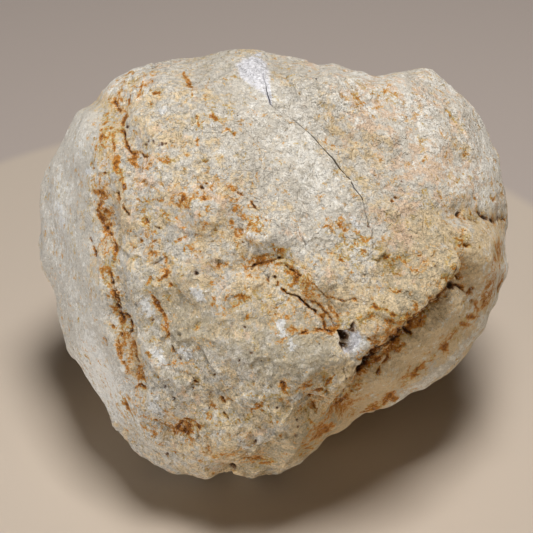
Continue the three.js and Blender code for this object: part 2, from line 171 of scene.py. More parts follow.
# Creases and cracks: path, half width and wander of the braid in pixels, depth in mm, then stain and
# darkness, where 1 is full. The darkness is painted shade in the crevices together with dark dirt; along
# ledge_root it is the painted shadow under the ledge.
CREASES = {
    "left_band": ([(113, 98), (116, 103), (119, 109), (121, 113)], 1.3, 0.6, 0.4, 0.9, 0.55),
    "left_hook": ([(123, 126), (124, 135), (126, 143), (129, 149), (132, 153), (137, 152), (141, 152),
        (144, 156), (149, 157)], 1.2, 0.9, 0.6, 0.8, 0.65),
    "left_strand": ([(101, 127), (102, 133), (100, 141), (96, 148), (94, 155), (93, 165)], 1.1, 0.8, 0.2,
        0.8, 0.3),
    "left_branch": ([(152, 144), (158, 145), (164, 144), (169, 140)], 1.0, 0.5, 0.3, 0.2, 0.6),
    "faint_ridge": ([(153, 156), (161, 158), (167, 163), (173, 165), (179, 167), (186, 168), (195, 164),
        (203, 161), (210, 160)], 1.0, 0.5, 0.3, 0.35, 0.3),
    "side_crack": ([(89, 236), (92, 243), (95, 251), (96, 259)], 1.0, 0.4, 0.3, 0.7, 0.6),
    "left_low": ([(134, 340), (135, 348), (136, 356), (140, 364)], 1.2, 1.6, 0.4, 0.8, 0.55),
    "left_foot": ([(133, 390), (137, 386), (141, 385), (145, 388), (150, 390)], 1.1, 0.8, 0.5, 0.9, 0.6),
    "left_inner": ([(152, 295), (156, 300), (158, 306), (162, 312), (165, 320), (167, 330), (168, 340)],
        1.3, 1.0, 0.35, 0.95, 0.3),
    "plateau_top": ([(149, 239), (154, 241), (160, 241)], 1.1, 0.6, 0.3, 0.8, 0.5),
    "inner_strand": ([(153, 243), (152, 250), (149, 257), (147, 265)], 1.1, 0.7, 0.2, 0.7, 0.1),
    "inner_second": ([(166, 250), (165, 258), (167, 265), (166, 275), (161, 279)], 1.3, 1.0, 0.3, 0.9,
        0.15),
    "top_line": ([(181, 70), (185, 76), (189, 82), (191, 88)], 1.0, 0.3, 0.2, 0.8, 0.25),
    "top_line_low": ([(201, 111), (204, 115), (213, 117), (220, 121), (226, 127), (232, 132), (236, 136)],
        1.0, 0.4, 0.2, 0.8, 0.3),
    "short_crack": ([(235, 191), (239, 194), (244, 197), (249, 199), (253, 205), (259, 211)], 1.1, 0.4, 0.4,
        0.7, 0.6),
    "spur_crack": ([(240, 240), (244, 243), (248, 246)], 1.0, 0.3, 0.3, 0.6, 0.6),
    "junction": ([(251, 269), (255, 265), (262, 263), (272, 261), (277, 258), (283, 257)], 1.2, 1.6, 0.4,
        0.7, 0.6),
    "junction_low": ([(274, 273), (269, 275), (267, 280), (269, 285), (275, 287), (279, 285), (278, 280)],
        1.0, 0.6, 0.4, 0.7, 0.6),
    "diagonal": ([(280, 287), (284, 291), (288, 294), (295, 296), (300, 298), (304, 302), (309, 307),
        (314, 309), (318, 314), (321, 317), (323, 321), (324, 326), (327, 330), (332, 332), (336, 331)],
        1.2, 0.7, 0.6, 0.75, 0.65),
    "diagonal_side": ([(309, 300), (316, 302), (321, 306), (324, 311), (328, 315), (331, 319), (333, 323),
        (336, 326), (340, 326)], 1.1, 1.1, 0.45, 0.7, 0.5),
    "yellow_crack": ([(371, 303), (376, 306), (381, 309), (387, 312), (391, 315), (397, 316), (403, 317)],
        1.3, 0.5, 0.35, 0.95, 0.45),
    "right_crevice": ([(455, 218), (458, 214), (462, 210)], 1.8, 0.5, 0.7, 0.5, 0.75),
    "right_crevice_main": ([(478, 210), (481, 215), (486, 218), (491, 220), (495, 222), (499, 218),
        (497, 211)], 2.0, 0.8, 0.9, 0.5, 0.85),
    "right_step": ([(463, 243), (467, 246), (473, 245)], 1.6, 0.4, 0.8, 0.8, 0.55),
    "right_branch": ([(454, 282), (460, 286), (464, 290), (467, 293), (470, 291), (472, 286)], 1.6, 0.4,
        0.9, 0.8, 0.8),
    "right_below": ([(469, 294), (470, 299), (474, 304)], 1.4, 0.5, 0.5, 0.8, 0.4),
    "right_line": ([(439, 189), (441, 197), (444, 204)], 0.9, 0.5, 0.2, 0.3, 0.4),
    "right_hook": ([(444, 261), (447, 262), (449, 259), (451, 255)], 1.1, 0.2, 0.4, 0.7, 0.6),
    "rim_strand": ([(501, 248), (502, 268), (500, 284), (494, 300)], 2.2, 0.8, 0.2, 0.7, 0.05),
    "ledge_root": ([(380, 345), (376, 350), (370, 356), (365, 364), (360, 371), (357, 376)], 2.2, 0.8, 1.2,
        0.9, 0.9),
    "ledge_root_low": ([(352, 371), (355, 366), (361, 366)], 1.3, 0.6, 0.4, 0.8, 0.7),
    "low_fold": ([(391, 352), (386, 361), (381, 368), (376, 376)], 1.5, 1.0, 0.5, 0.9, 0.4),
    "low_arc": ([(172, 436), (176, 430), (181, 424), (187, 421), (193, 423), (198, 428), (199, 435)], 1.8,
        1.0, 0.7, 0.9, 0.4),
    "low_hook": ([(220, 396), (224, 400), (227, 405)], 1.8, 0.8, 0.5, 0.7, 0.6),
    "low_left": ([(117, 403), (124, 402), (129, 408)], 1.3, 0.8, 0.4, 0.8, 0.3),
    "low_middle": ([(278, 384), (283, 383), (284, 388), (281, 393)], 1.5, 0.8, 0.5, 0.9, 0.5),
    "low_right": ([(307, 398), (310, 395), (314, 392), (319, 390), (325, 389), (328, 394)], 1.3, 0.6, 0.5,
        0.85, 0.45),
    "hole_edge": ([(355, 322), (353, 327), (349, 331), (344, 333), (339, 333), (342, 338), (343, 341),
        (341, 345), (344, 350), (346, 355)], 1.7, 0.2, 0.8, 0.5, 0.85),
    "scratch": ([(242, 128), (251, 136), (260, 146), (268, 152)], 1.3, 0.8, 0.25, 0.0, 0.3),
    "scratch_top": ([(295, 90), (299, 92), (302, 97)], 1.3, 0.3, 0.3, 0.0, 0.35),
    "left_strand_middle": ([(100, 190), (101, 197), (99, 205), (97, 212), (101, 220), (106, 228),
        (111, 234), (115, 244), (115, 254), (113, 262)], 1.3, 1.4, 0.3, 0.9, 0.45),
    "left_strand_low": ([(109, 268), (112, 280), (113, 290), (115, 300), (118, 308), (121, 314),
        (124, 320)], 1.3, 1.6, 0.5, 0.9, 0.7),
    "left_strand_side": ([(115, 288), (118, 298), (120, 306), (124, 313), (129, 316), (132, 324),
        (131, 332)], 1.1, 1.0, 0.4, 0.8, 0.65),
    "left_edge": ([(101, 266), (103, 278), (107, 290), (111, 298)], 1.1, 0.8, 0.2, 0.6, 0.15),
    "left_knot": ([(121, 335), (122, 330), (126, 334), (131, 331)], 1.1, 0.5, 0.3, 0.9, 0.6),
    "left_low_side": ([(118, 338), (119, 348), (121, 358), (126, 367), (128, 376)], 1.2, 1.2, 0.3, 0.8,
        0.4),
    "left_spur": ([(109, 320), (112, 325), (115, 329)], 1.2, 0.4, 0.4, 0.9, 0.6),
    "left_thread": ([(145, 216), (149, 222), (153, 225), (159, 229)], 1.0, 0.4, 0.3, 0.5, 0.5),
    "inner_left": ([(112, 191), (117, 193), (120, 200), (123, 207), (127, 212), (130, 217)], 1.1, 0.5, 0.4,
        0.7, 0.5),
    "side_scratch": ([(104, 335), (106, 341), (107, 347)], 1.0, 0.2, 0.3, 0.5, 0.5),
    "left_inner_low": ([(169, 345), (174, 352), (179, 357), (181, 362)], 1.1, 0.4, 0.4, 0.6, 0.55),
    "left_wedge": ([(186, 373), (190, 376), (195, 381), (199, 385)], 1.2, 0.5, 0.5, 0.5, 0.6),
    "plateau_side": ([(139, 238), (144, 242)], 1.5, 0.6, 0.3, 0.9, 0.2),
    "junction_side": ([(279, 264), (284, 264), (290, 268), (295, 272), (300, 275)], 1.0, 0.4, 0.4, 0.7,
        0.6),
    "diagonal_far": ([(311, 284), (315, 285), (318, 289), (322, 292), (326, 297), (330, 299)], 1.0, 0.4,
        0.4, 0.5, 0.5),
    "diagonal_far_low": ([(330, 299), (334, 304), (338, 309)], 1.0, 0.2, 0.3, 0.1, 0.35),
    "middle_fold": ([(330, 297), (338, 299), (345, 301), (352, 300), (358, 298)], 1.2, 0.8, 0.4, 0.7, 0.25),
    "plate_top": ([(298, 335), (302, 334), (307, 331), (313, 330), (321, 330), (329, 331)], 1.2, 0.5, 0.5,
        0.85, 0.35),
    "low_hook_end": ([(222, 411), (226, 416), (229, 421)], 1.3, 0.4, 0.4, 0.7, 0.5),
    "low_right_end": ([(309, 399), (313, 403), (316, 409), (315, 415)], 1.1, 0.4, 0.3, 0.7, 0.25),
    "crescent": ([(341, 367), (345, 372), (347, 379), (346, 386)], 1.0, 0.2, 0.4, 0.2, 0.45),
    "crescent_outer": ([(347, 369), (350, 376), (350, 384), (346, 391)], 1.0, 0.2, 0.3, 0.3, 0.35),
    "right_crevice_end": ([(499, 219), (504, 218), (507, 221)], 1.6, 0.4, 0.6, 0.5, 0.6),
    "right_crevice_top": ([(466, 204), (468, 210)], 1.4, 0.3, 0.5, 0.5, 0.65),
    "right_crevice_low": ([(463, 219), (468, 218), (474, 221), (479, 225)], 1.2, 0.5, 0.4, 0.3, 0.4),
    "right_fold": ([(474, 190), (476, 204)], 1.8, 0.4, 0.5, 0.4, 0.1),
    "right_fold_far": ([(491, 193), (495, 204)], 1.8, 0.4, 0.5, 0.5, 0.15),
    "right_mesh": ([(411, 247), (413, 253), (417, 257), (421, 255), (425, 250), (429, 244)], 1.1, 0.8, 0.3,
        0.35, 0.3),
    "right_dash": ([(423, 266), (428, 265), (434, 268), (439, 265)], 1.0, 0.2, 0.3, 0.4, 0.35),
    "right_stroke": ([(388, 288), (394, 292), (400, 292), (406, 289)], 1.0, 0.4, 0.3, 0.7, 0.4),
    "ledge_cut": ([(402, 325), (406, 329), (411, 333), (415, 337)], 1.6, 0.6, 0.5, 0.9, 0.7),
    "ledge_cut_low": ([(391, 343), (396, 338), (402, 334)], 1.8, 0.5, 0.5, 0.9, 0.75),
    "hole_side": ([(367, 337), (372, 341), (374, 347)], 1.3, 0.5, 0.4, 0.9, 0.5),
}

# Pits and specks: x, y, radius in pixels, depth in mm, stain and darkness, where 1 is full. The darkness is
# painted shade in the pits together with dark specks; in the notch at the bottom and under the ledge's edge
# it is a painted shadow.
PITS = [
    (206, 183, 1.8, 0.5, 0.9, 0.7), (201, 187, 2.4, 0.7, 0.9, 0.8), (198, 193, 1.5, 0.4, 0.8, 0.6),
    (204, 199, 1.5, 0.4, 0.6, 0.6), (198, 201, 1.3, 0.3, 0.6, 0.6), (201, 211, 1.3, 0.3, 0.4, 0.6),
    (196, 273, 2.8, 0.9, 0.1, 0.9), (402, 181, 1.8, 0.4, 0.2, 0.7), (397, 197, 2.2, 0.6, 0.5, 0.6),
    (393, 201, 1.6, 0.5, 0.7, 0.7), (369, 226, 2.0, 0.6, 0.4, 0.7), (243, 231, 7.0, 0.6, 0.5, 0.1),
    (409, 331, 5.0, 1.0, 0.8, 0.5), (453, 285, 4.2, 1.6, 0.6, 1.3), (458, 276, 3.0, 0.9, 0.7, 0.6),
    (473, 290, 2.0, 0.5, 0.8, 0.6), (465, 157, 6.0, 0.5, 0.3, 0.0), (231, 471, 5.0, 2.2, 0.4, 1.0),
    (187, 429, 8.0, 0.9, 0.9, 0.1), (127, 126, 2.0, 0.4, 0.2, 1.0), (145, 144, 1.7, 0.3, 0.1, 1.0),
    (148, 141, 1.4, 0.2, 0.1, 0.9), (153, 141, 1.5, 0.2, 0.0, 0.9), (159, 145, 1.6, 0.2, 0.0, 1.0),
    (162, 142, 1.4, 0.2, 0.0, 0.9), (166, 143, 1.5, 0.2, 0.0, 0.9), (170, 140, 1.4, 0.2, 0.0, 0.8),
    (174, 399, 1.7, 0.3, 0.1, 1.0), (209, 409, 1.7, 0.3, 0.2, 1.0), (167, 454, 1.7, 0.3, 0.1, 1.0),
    (277, 408, 1.8, 0.3, 0.1, 1.1), (256, 441, 1.6, 0.3, 0.1, 1.0), (347, 339, 4.5, 0.3, 0.6, 1.1),
    (346, 349, 3.2, 0.2, 0.6, 1.0), (354, 331, 3.5, 0.2, 0.5, 0.9), (366, 360, 4.0, 1.0, 0.9, 1.0),
    (373, 352, 3.0, 0.8, 0.9, 0.9), (359, 369, 3.0, 0.8, 0.9, 0.9), (400, 330, 3.0, 0.7, 1.0, 0.9),
    (392, 337, 3.0, 0.6, 1.0, 0.7), (410, 322, 3.0, 0.6, 1.0, 0.6), (432, 302, 2.6, 0.7, 0.8, 0.7),
    (439, 296, 2.6, 0.7, 0.8, 0.7), (170, 123, 1.4, 0.2, 0.0, 0.9), (104, 172, 1.4, 0.3, 0.8, 0.9),
    (92, 164, 1.3, 0.3, 0.8, 0.8), (94, 168, 1.3, 0.3, 0.8, 0.8), (130, 95, 1.5, 0.3, 0.7, 0.7),
    (106, 228, 2.0, 0.5, 0.8, 0.9), (118, 193, 1.8, 0.4, 0.8, 0.8), (158, 228, 1.5, 0.3, 0.5, 0.9),
    (131, 331, 2.2, 0.5, 0.8, 1.0), (121, 335, 1.8, 0.4, 0.8, 0.95), (116, 306, 2.2, 0.5, 0.8, 1.0),
    (251, 353, 1.5, 0.3, 0.1, 0.9), (239, 361, 1.4, 0.3, 0.3, 0.9), (245, 327, 1.5, 0.3, 0.1, 1.0),
    (215, 375, 1.5, 0.3, 0.8, 0.8), (165, 387, 1.6, 0.3, 0.1, 0.9), (153, 320, 1.6, 0.3, 0.0, 0.7),
    (309, 307, 1.8, 0.5, 0.8, 0.9), (255, 265, 1.8, 0.4, 0.7, 0.9), (252, 269, 1.6, 0.3, 0.6, 0.8),
    (275, 277, 1.5, 0.3, 0.6, 0.9), (300, 275, 1.5, 0.3, 0.6, 0.9), (265, 219, 1.4, 0.3, 0.5, 0.7),
    (95, 251, 1.4, 0.3, 0.8, 0.9), (113, 262, 1.5, 0.3, 0.9, 0.8), (462, 237, 1.8, 0.5, 0.5, 0.75),
    (297, 420, 1.7, 0.3, 0.4, 0.9), (298, 427, 1.6, 0.3, 0.4, 0.9), (296, 436, 2.5, 0.3, 0.6, 0.6),
    (240, 442, 1.6, 0.3, 0.6, 0.9), (212, 398, 5.0, 0.9, 0.1, 0.15), (281, 436, 1.8, 0.3, 0.6, 0.5),
    (210, 394, 1.5, 0.3, 0.2, 0.8), (193, 388, 1.3, 0.2, 0.1, 0.8), (401, 291, 1.3, 0.3, 0.6, 0.8),
    (411, 247, 1.4, 0.3, 0.4, 0.7), (416, 260, 1.5, 0.3, 0.2, 0.5),
]

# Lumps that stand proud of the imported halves: x, y, half width and half height in pixels, mm.
LUMPS = [
    (213, 207, 15, 12, 0.7), (136, 270, 15, 20, 0.8), (190, 278, 22, 16, 0.6), (317, 349, 16, 18, 0.7),
    (290, 237, 20, 14, 0.5), (379, 243, 18, 16, 0.6), (225, 444, 20, 12, 0.8), (142, 409, 16, 12, 0.7),
    (434, 263, 14, 12, 0.7), (489, 249, 12, 14, 0.8), (330, 272, 16, 12, 0.7), (396, 300, 12, 10, 0.6),
    (160, 190, 18, 12, 0.5), (150, 125, 14, 12, 0.5), (260, 308, 26, 14, 0.4), (290, 318, 14, 12, 0.5),
    (284, 420, 18, 12, 0.6), (180, 395, 16, 12, 0.5), (240, 395, 14, 10, 0.5), (470, 232, 9, 9, 0.6),
    (470, 262, 10, 14, 0.7), (420, 195, 14, 14, 0.4), (255, 240, 9, 8, 0.4), (300, 400, 8, 6, 0.5),
    (355, 395, 10, 8, 0.6), (150, 300, 10, 16, 0.5), (145, 345, 9, 12, 0.5), (452, 305, 11, 12, 1.6),
    (438, 325, 12, 9, 0.9), (482, 272, 14, 18, 0.8), (420, 345, 14, 8, 0.5),
]

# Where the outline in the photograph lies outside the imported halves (+) or inside them (-): path, half
# width in pixels, mm.
SWELLS = [
    ([(443, 78)], 22, -2.2), ([(415, 70)], 12, -0.8), ([(364, 70)], 10, 1.0), ([(345, 67)], 8, -0.5),
    ([(318, 61)], 18, -1.3), ([(177, 58)], 14, 0.7), ([(134, 66)], 10, 0.9), ([(93, 100)], 18, -2.0),
    ([(72, 121)], 9, -0.5), ([(40, 182)], 10, 0.8), ([(38, 212)], 20, 1.1), ([(80, 366)], 14, -0.7),
    ([(113, 425)], 10, 0.8), ([(205, 478)], 13, 1.3), ([(256, 480)], 8, 1.2), ([(306, 456)], 10, -1.2),
    ([(325, 441)], 14, -1.6), ([(372, 415), (391, 409), (431, 383), (467, 352), (485, 330)], 16, 2.0),
    ([(419, 387)], 9, 1.0), ([(473, 338)], 10, -0.5), ([(325, 441)], 12, -0.5), ([(497, 302)], 10, 0.5),
    ([(502, 285)], 14, -0.8), ([(508, 252)], 18, -1.6),
]

# Iron stain in single spots: x, y, radius in pixels, strength from 0 to 1.
STAINS = [
    (188, 431, 11, 0.5), (443, 348, 7, 0.9), (421, 366, 7, 0.9), (414, 375, 6, 0.9), (473, 317, 5, 0.8),
    (466, 324, 5, 0.7), (391, 397, 7, 0.9), (375, 408, 8, 0.9), (405, 318, 9, 0.7), (332, 405, 8, 0.6),
    (386, 90, 6, 0.6), (347, 99, 5, 0.5), (317, 116, 5, 0.4), (261, 459, 5, 0.8), (378, 340, 9, 0.8),
    (362, 357, 8, 0.8), (396, 330, 8, 0.7), (430, 300, 6, 0.8), (368, 340, 4, 0.6), (470, 292, 6, 0.6),
    (485, 300, 6, 0.5), (490, 222, 7, 0.4), (345, 400, 8, 0.6), (345, 390, 5, 0.6),
]

# How thickly iron stain is sown: path, half width in pixels, density from 0 to 1.
STAIN_ZONES = [
    ([(126, 78), (118, 100), (108, 130), (102, 160)], 17, 0.45), ([(150, 72), (142, 95)], 9, 0.43),
    ([(100, 175), (101, 205), (108, 235)], 13, 0.53),
    ([(108, 245), (112, 280), (120, 315), (128, 345), (137, 378)], 11, 0.55),
    ([(124, 140), (133, 158), (165, 162)], 10, 0.43), ([(150, 190), (146, 240), (160, 280)], 26, 0.31),
    ([(185, 200), (205, 190)], 16, 0.43), ([(225, 180), (250, 215), (262, 250)], 15, 0.4),
    ([(250, 262), (280, 262), (310, 290), (338, 325)], 14, 0.58),
    ([(225, 300), (262, 300), (300, 320)], 22, 0.38), ([(160, 200), (195, 225), (245, 275)], 40, 0.29),
    ([(150, 320), (190, 370)], 24, 0.29), ([(352, 322), (380, 318), (400, 330)], 12, 0.52),
    ([(336, 222), (345, 240)], 12, 0.45), ([(452, 215), (480, 215), (505, 222)], 10, 0.38),
    ([(461, 235), (457, 268), (440, 292), (410, 320), (386, 342), (362, 368), (350, 392)], 10, 0.6),
    ([(500, 240), (488, 296), (470, 318)], 9, 0.56),
    ([(466, 322), (440, 348), (418, 368), (392, 396), (372, 408)], 10, 0.34),
    ([(350, 395), (330, 418), (308, 445)], 14, 0.61),
    ([(125, 405), (150, 425), (200, 428), (250, 410), (300, 395), (335, 392)], 24, 0.37),
    ([(205, 455), (260, 458)], 12, 0.43), ([(350, 92), (392, 92)], 16, 0.32),
    ([(355, 245), (400, 262), (425, 275)], 18, 0.4), ([(495, 150), (502, 200)], 9, 0.25),
    ([(400, 120), (440, 170), (430, 215)], 30, 0.2),
]

# Threads of iron stain that lie on the crust without a crease: path, half width in pixels, strength.
THREADS = [
    ([(127, 116), (123, 123), (123, 131), (124, 138)], 2.2, 0.95),
    ([(133, 153), (133, 160), (134, 165)], 2.8, 1.0), ([(134, 165), (141, 167), (148, 169)], 1.1, 0.85),
    ([(118, 158), (115, 165), (117, 171)], 4.0, 0.95), ([(108, 113), (107, 120), (104, 125)], 1.4, 0.8),
    ([(111, 128), (113, 137), (114, 150)], 2.0, 0.9), ([(107, 137), (112, 135)], 1.2, 0.7),
    ([(99, 170), (100, 180), (99, 187)], 1.8, 0.75), ([(97, 191), (103, 193)], 4.0, 1.0),
    ([(99, 214), (102, 221)], 4.5, 1.0), ([(109, 225), (113, 224)], 2.5, 0.95),
    ([(111, 233), (116, 245), (115, 259)], 2.4, 1.0), ([(121, 174), (122, 180), (125, 188)], 2.6, 0.95),
    ([(137, 199), (145, 202), (152, 200), (157, 199)], 1.2, 0.85), ([(161, 201), (169, 206)], 2.6, 0.7),
    ([(183, 199), (188, 200), (187, 207)], 4.0, 1.0), ([(131, 89), (130, 96), (129, 104)], 1.3, 0.8),
    ([(144, 74), (143, 82), (140, 92), (137, 99)], 1.1, 0.85), ([(151, 80), (151, 90)], 1.2, 0.7),
    ([(154, 93), (158, 93)], 2.2, 0.9), ([(150, 101), (151, 107)], 1.3, 0.7),
    ([(192, 87), (192, 97)], 1.7, 0.85), ([(196, 115), (198, 121), (199, 126)], 1.3, 0.85),
    ([(199, 125), (205, 120)], 1.2, 0.7), ([(135, 131), (137, 134)], 2.2, 0.7),
    ([(197, 139), (197, 145)], 2.2, 0.6), ([(159, 280), (165, 275)], 1.8, 1.0),
    ([(150, 276), (150, 283), (153, 287)], 1.3, 0.85), ([(169, 287), (171, 285)], 2.2, 1.0),
    ([(153, 297), (157, 301)], 2.6, 1.0), ([(164, 315), (167, 335)], 1.5, 0.8),
    ([(176, 241), (186, 237)], 1.4, 0.75), ([(184, 250), (186, 246)], 1.5, 0.85),
    ([(130, 268), (132, 280), (131, 292)], 1.0, 0.6), ([(118, 337), (119, 349)], 2.4, 0.9),
    ([(128, 350), (134, 352)], 2.4, 0.75), ([(128, 362), (139, 366)], 1.6, 0.7),
    ([(142, 373), (146, 382)], 1.1, 0.8), ([(147, 353), (149, 357)], 3.0, 0.7),
    ([(226, 297), (227, 304)], 1.4, 0.8), ([(246, 311), (247, 317)], 2.4, 0.7),
    ([(241, 290), (241, 299)], 1.0, 0.8), ([(283, 252), (281, 258)], 5.0, 0.75),
    ([(291, 325), (295, 329)], 2.4, 0.85), ([(231, 222), (238, 238)], 4.0, 0.6),
    ([(254, 243), (264, 249)], 1.0, 0.75), ([(271, 243), (276, 252)], 1.1, 0.8),
    ([(340, 259), (343, 261)], 1.6, 0.95), ([(334, 222), (341, 226), (345, 231)], 2.4, 0.7),
    ([(321, 227), (326, 225), (332, 226)], 1.2, 0.7),
    ([(384, 350), (399, 338), (413, 326), (423, 319)], 6.0, 0.8),
    ([(368, 366), (378, 358), (394, 342)], 3.5, 1.0),
    ([(364, 372), (375, 364), (388, 352), (403, 346)], 1.6, 0.85),
    ([(397, 328), (406, 320), (416, 318)], 3.4, 0.85), ([(404, 378), (414, 372), (422, 365)], 3.6, 0.9),
    ([(384, 402), (391, 396), (394, 392)], 3.6, 0.95), ([(364, 412), (375, 406)], 3.4, 0.85),
    ([(176, 432), (184, 426), (197, 428)], 4.0, 0.7), ([(118, 404), (126, 404), (130, 410)], 3.0, 0.7),
    ([(376, 261), (381, 259), (387, 258)], 1.2, 0.85), ([(409, 270), (411, 266)], 1.3, 0.9),
    ([(361, 250), (366, 250)], 1.8, 0.9), ([(346, 248), (352, 250)], 2.0, 0.65),
    ([(476, 301), (476, 308)], 2.6, 0.9), ([(472, 314), (471, 318)], 2.2, 0.85),
    ([(467, 325), (461, 323)], 2.6, 0.95), ([(441, 349), (446, 344)], 3.4, 0.95),
    ([(449, 338), (456, 331)], 2.0, 0.7), ([(417, 322), (424, 320)], 4.0, 0.75),
    ([(398, 350), (404, 344)], 3.4, 0.9), ([(306, 385), (312, 385)], 2.4, 0.85),
    ([(242, 407), (250, 409), (257, 408), (263, 404)], 1.1, 0.8),
    ([(260, 463), (272, 462), (284, 461)], 1.4, 0.9), ([(257, 457), (261, 457)], 2.2, 0.95),
    ([(333, 405), (341, 400), (352, 391)], 2.2, 0.9), ([(310, 424), (321, 423)], 1.0, 0.8),
    ([(312, 441), (322, 433), (332, 424)], 4.0, 0.9), ([(152, 393), (156, 395)], 2.2, 1.0),
    ([(173, 415), (175, 417)], 1.6, 0.9), ([(206, 470), (215, 473)], 2.0, 0.6),
    ([(244, 474), (250, 475)], 2.0, 0.7), ([(335, 375), (329, 380), (325, 386)], 1.2, 0.8),
]

# Broad tints of the crust: path, half width in pixels, then pale, warm and pink from -1 to 1. Most are the
# crust's own tone; three rows are painted shade and painted light: the lower middle of the face and the
# shaded lower skin at the bottom right are made duller and darker, and the skin under the ledge is made
# paler.
TINTS = [
    ([(262, 112), (298, 160), (332, 206)], 34, 0.5, -0.6, -0.2),
    ([(222, 66), (240, 95)], 26, -0.1, -0.3, -0.1), ([(147, 60), (128, 72), (112, 88)], 12, 0.7, -0.5, 0.0),
    ([(80, 130), (58, 200), (66, 262), (84, 325), (108, 385)], 22, 0.45, -0.7, -0.4),
    ([(375, 92), (420, 120), (455, 175)], 38, 0.5, -0.3, 0.45),
    ([(480, 130), (494, 200)], 16, 0.5, 0.1, 0.2), ([(325, 285), (345, 310)], 20, -0.3, 0.4, 0.0),
    ([(135, 415), (150, 430)], 14, 0.5, -0.5, -0.2), ([(395, 170), (405, 230)], 34, 0.1, -0.25, 0.3),
    ([(150, 175), (195, 195), (235, 200)], 26, 0.1, -0.15, 0.2),
    ([(110, 100), (112, 160), (104, 225)], 14, 0.0, 0.3, 0.2),
    # painted shade: the lower middle of the face made duller and darker
    ([(195, 320), (250, 345), (310, 350)], 38, -0.6, 0.1, -0.1),
    ([(245, 465), (300, 447)], 14, -0.5, 0.4, 0.0), ([(245, 145), (262, 165)], 20, 0.25, -0.2, 0.0),
    ([(285, 235), (315, 245)], 22, 0.35, -0.2, 0.0), ([(335, 95), (360, 105)], 18, 0.35, -0.4, 0.1),
    ([(490, 240), (492, 275)], 14, 0.4, 0.0, 0.0), ([(160, 290), (180, 350)], 26, -0.3, 0.0, 0.0),
    ([(150, 420), (300, 420)], 24, -0.2, 0.1, 0.0), ([(420, 225), (400, 285)], 26, -0.35, 0.7, 0.1),
    ([(400, 330), (440, 290), (480, 250)], 26, -0.1, 0.6, 0.0),
    # painted light: the skin under the ledge made paler
    ([(320, 430), (370, 385), (440, 340), (490, 290)], 24, 0.3, 0.6, -0.5),
    ([(90, 350), (115, 410)], 14, 0.8, -0.8, -0.2), ([(170, 455), (250, 465)], 20, 0.0, 0.2, 0.0),
    ([(265, 52), (300, 60), (360, 72)], 12, 0.4, -0.2, 0.1),
    ([(430, 72), (480, 112), (504, 180)], 12, 0.4, -0.1, 0.1),
    # the last row paints shade: the shaded lower skin at the bottom right made duller and darker
    ([(510, 225), (506, 272), (496, 302), (483, 326), (455, 360), (428, 381), (394, 404)], 5, 0.6, -0.4,
        -0.2), ([(310, 440), (330, 420)], 13, -0.8, 0.7, -0.3),
]

# Small patches of chalky white crystals: path, half width in pixels, strength.
CRYSTALS = [
    ([(163, 111)], 5, 0.8), ([(89, 172)], 4, 1.0), ([(195, 291), (200, 296)], 6, 1.0),
    ([(145, 302), (149, 313)], 6, 0.9), ([(182, 350), (188, 355)], 6, 0.8),
    ([(157, 353), (161, 360)], 6, 1.0), ([(153, 405), (158, 413)], 7, 0.9),
    ([(280, 322), (282, 333)], 4, 1.0), ([(290, 340), (292, 349)], 4, 0.9), ([(213, 124)], 5, 0.6),
    ([(238, 440), (246, 446)], 5, 0.7), ([(352, 218), (358, 228)], 4, 0.8),
    ([(246, 232), (250, 236)], 4, 0.6), ([(58, 205), (62, 225)], 5, 0.6), ([(166, 440)], 5, 0.7),
    ([(354, 352), (361, 342)], 5, 0.8),
]

# Where the crust is smoother or rougher than elsewhere: path, half width in pixels, change.
TEXTURES = [
    ([(80, 130), (58, 200), (66, 262), (84, 325), (108, 385)], 30, -0.85),
    ([(136, 65), (92, 102), (51, 150)], 14, -0.6),
    ([(222, 66), (262, 112), (298, 160), (332, 206)], 36, -0.45),
    ([(200, 300), (250, 330), (300, 345)], 38, -0.55),
    ([(318, 445), (370, 400), (435, 362), (486, 310), (506, 250)], 30, -0.95),
    ([(150, 430), (210, 400), (280, 400)], 34, 0.2),
    ([(401, 71), (432, 73), (476, 105), (504, 180)], 16, -0.45),
    ([(400, 95), (440, 145), (475, 195)], 38, -0.45), ([(268, 52), (340, 66), (381, 74)], 12, -0.5),
]

# Fresh breaks: outline, depth in mm at its left and right ends, how fresh the stone looks from 0 to 1,
# and the pixels over which that fades at the edge.
BREAKS = {
    "crown": ([(238, 70), (245, 60), (252, 52), (264, 50), (261, 58), (262, 67), (266, 76), (271, 84),
        (273, 96), (273, 105), (269, 106), (265, 96), (263, 86), (256, 81), (250, 80), (241, 75)], 0.35,
        0.2, 0.85, 3.0),
    "crown_dust": ([(229, 62), (240, 53), (262, 50), (272, 60), (276, 78), (276, 96), (268, 104), (250, 92),
        (236, 82)], 0.0, 0.0, 0.5, 9.0),
    "hole": ([(336, 331), (340, 330), (345, 330), (348, 329), (351, 325), (354, 320), (357, 324),
        (360, 332), (363, 338), (360, 346), (352, 354), (345, 358), (344, 353), (341, 349), (338, 344),
        (341, 340)], 3.0, 0.3, 0.55, 1.5),
}


def from_path(places, path, reach):
    """Distance in pixels from a path, its side, and how far along the path, up to a reach. The side is
    positive on the right of a person who walks along the path and looks at it from outside."""
    knots = np.array(path if len(path) > 1 else path * 2, float)
    low, high = knots.min(0) - reach, knots.max(0) + reach
    near = np.flatnonzero(np.all((places > low) & (places < high), axis=1))
    best, side, along = np.array([[reach], [1.0], [0.0]]) * np.ones(len(near))
    for step, (start, end) in enumerate(zip(knots[:-1], knots[1:])):
        line, away = end - start, places[near] - start
        share = np.clip(away @ line / max(line @ line, 1e-9), 0, 1)
        distance = np.linalg.norm(away - share[:, None] * line, axis=1)
        closer = distance < best
        best[closer] = distance[closer]
        side[closer] = np.sign(line[1] * away[closer, 0] - line[0] * away[closer, 1])
        along[closer] = (step + share[closer]) / (len(knots) - 1)
    found = np.array([[reach], [1.0], [0.0]]) * np.ones(len(places))
    found[:, near] = best, side, along
    return found


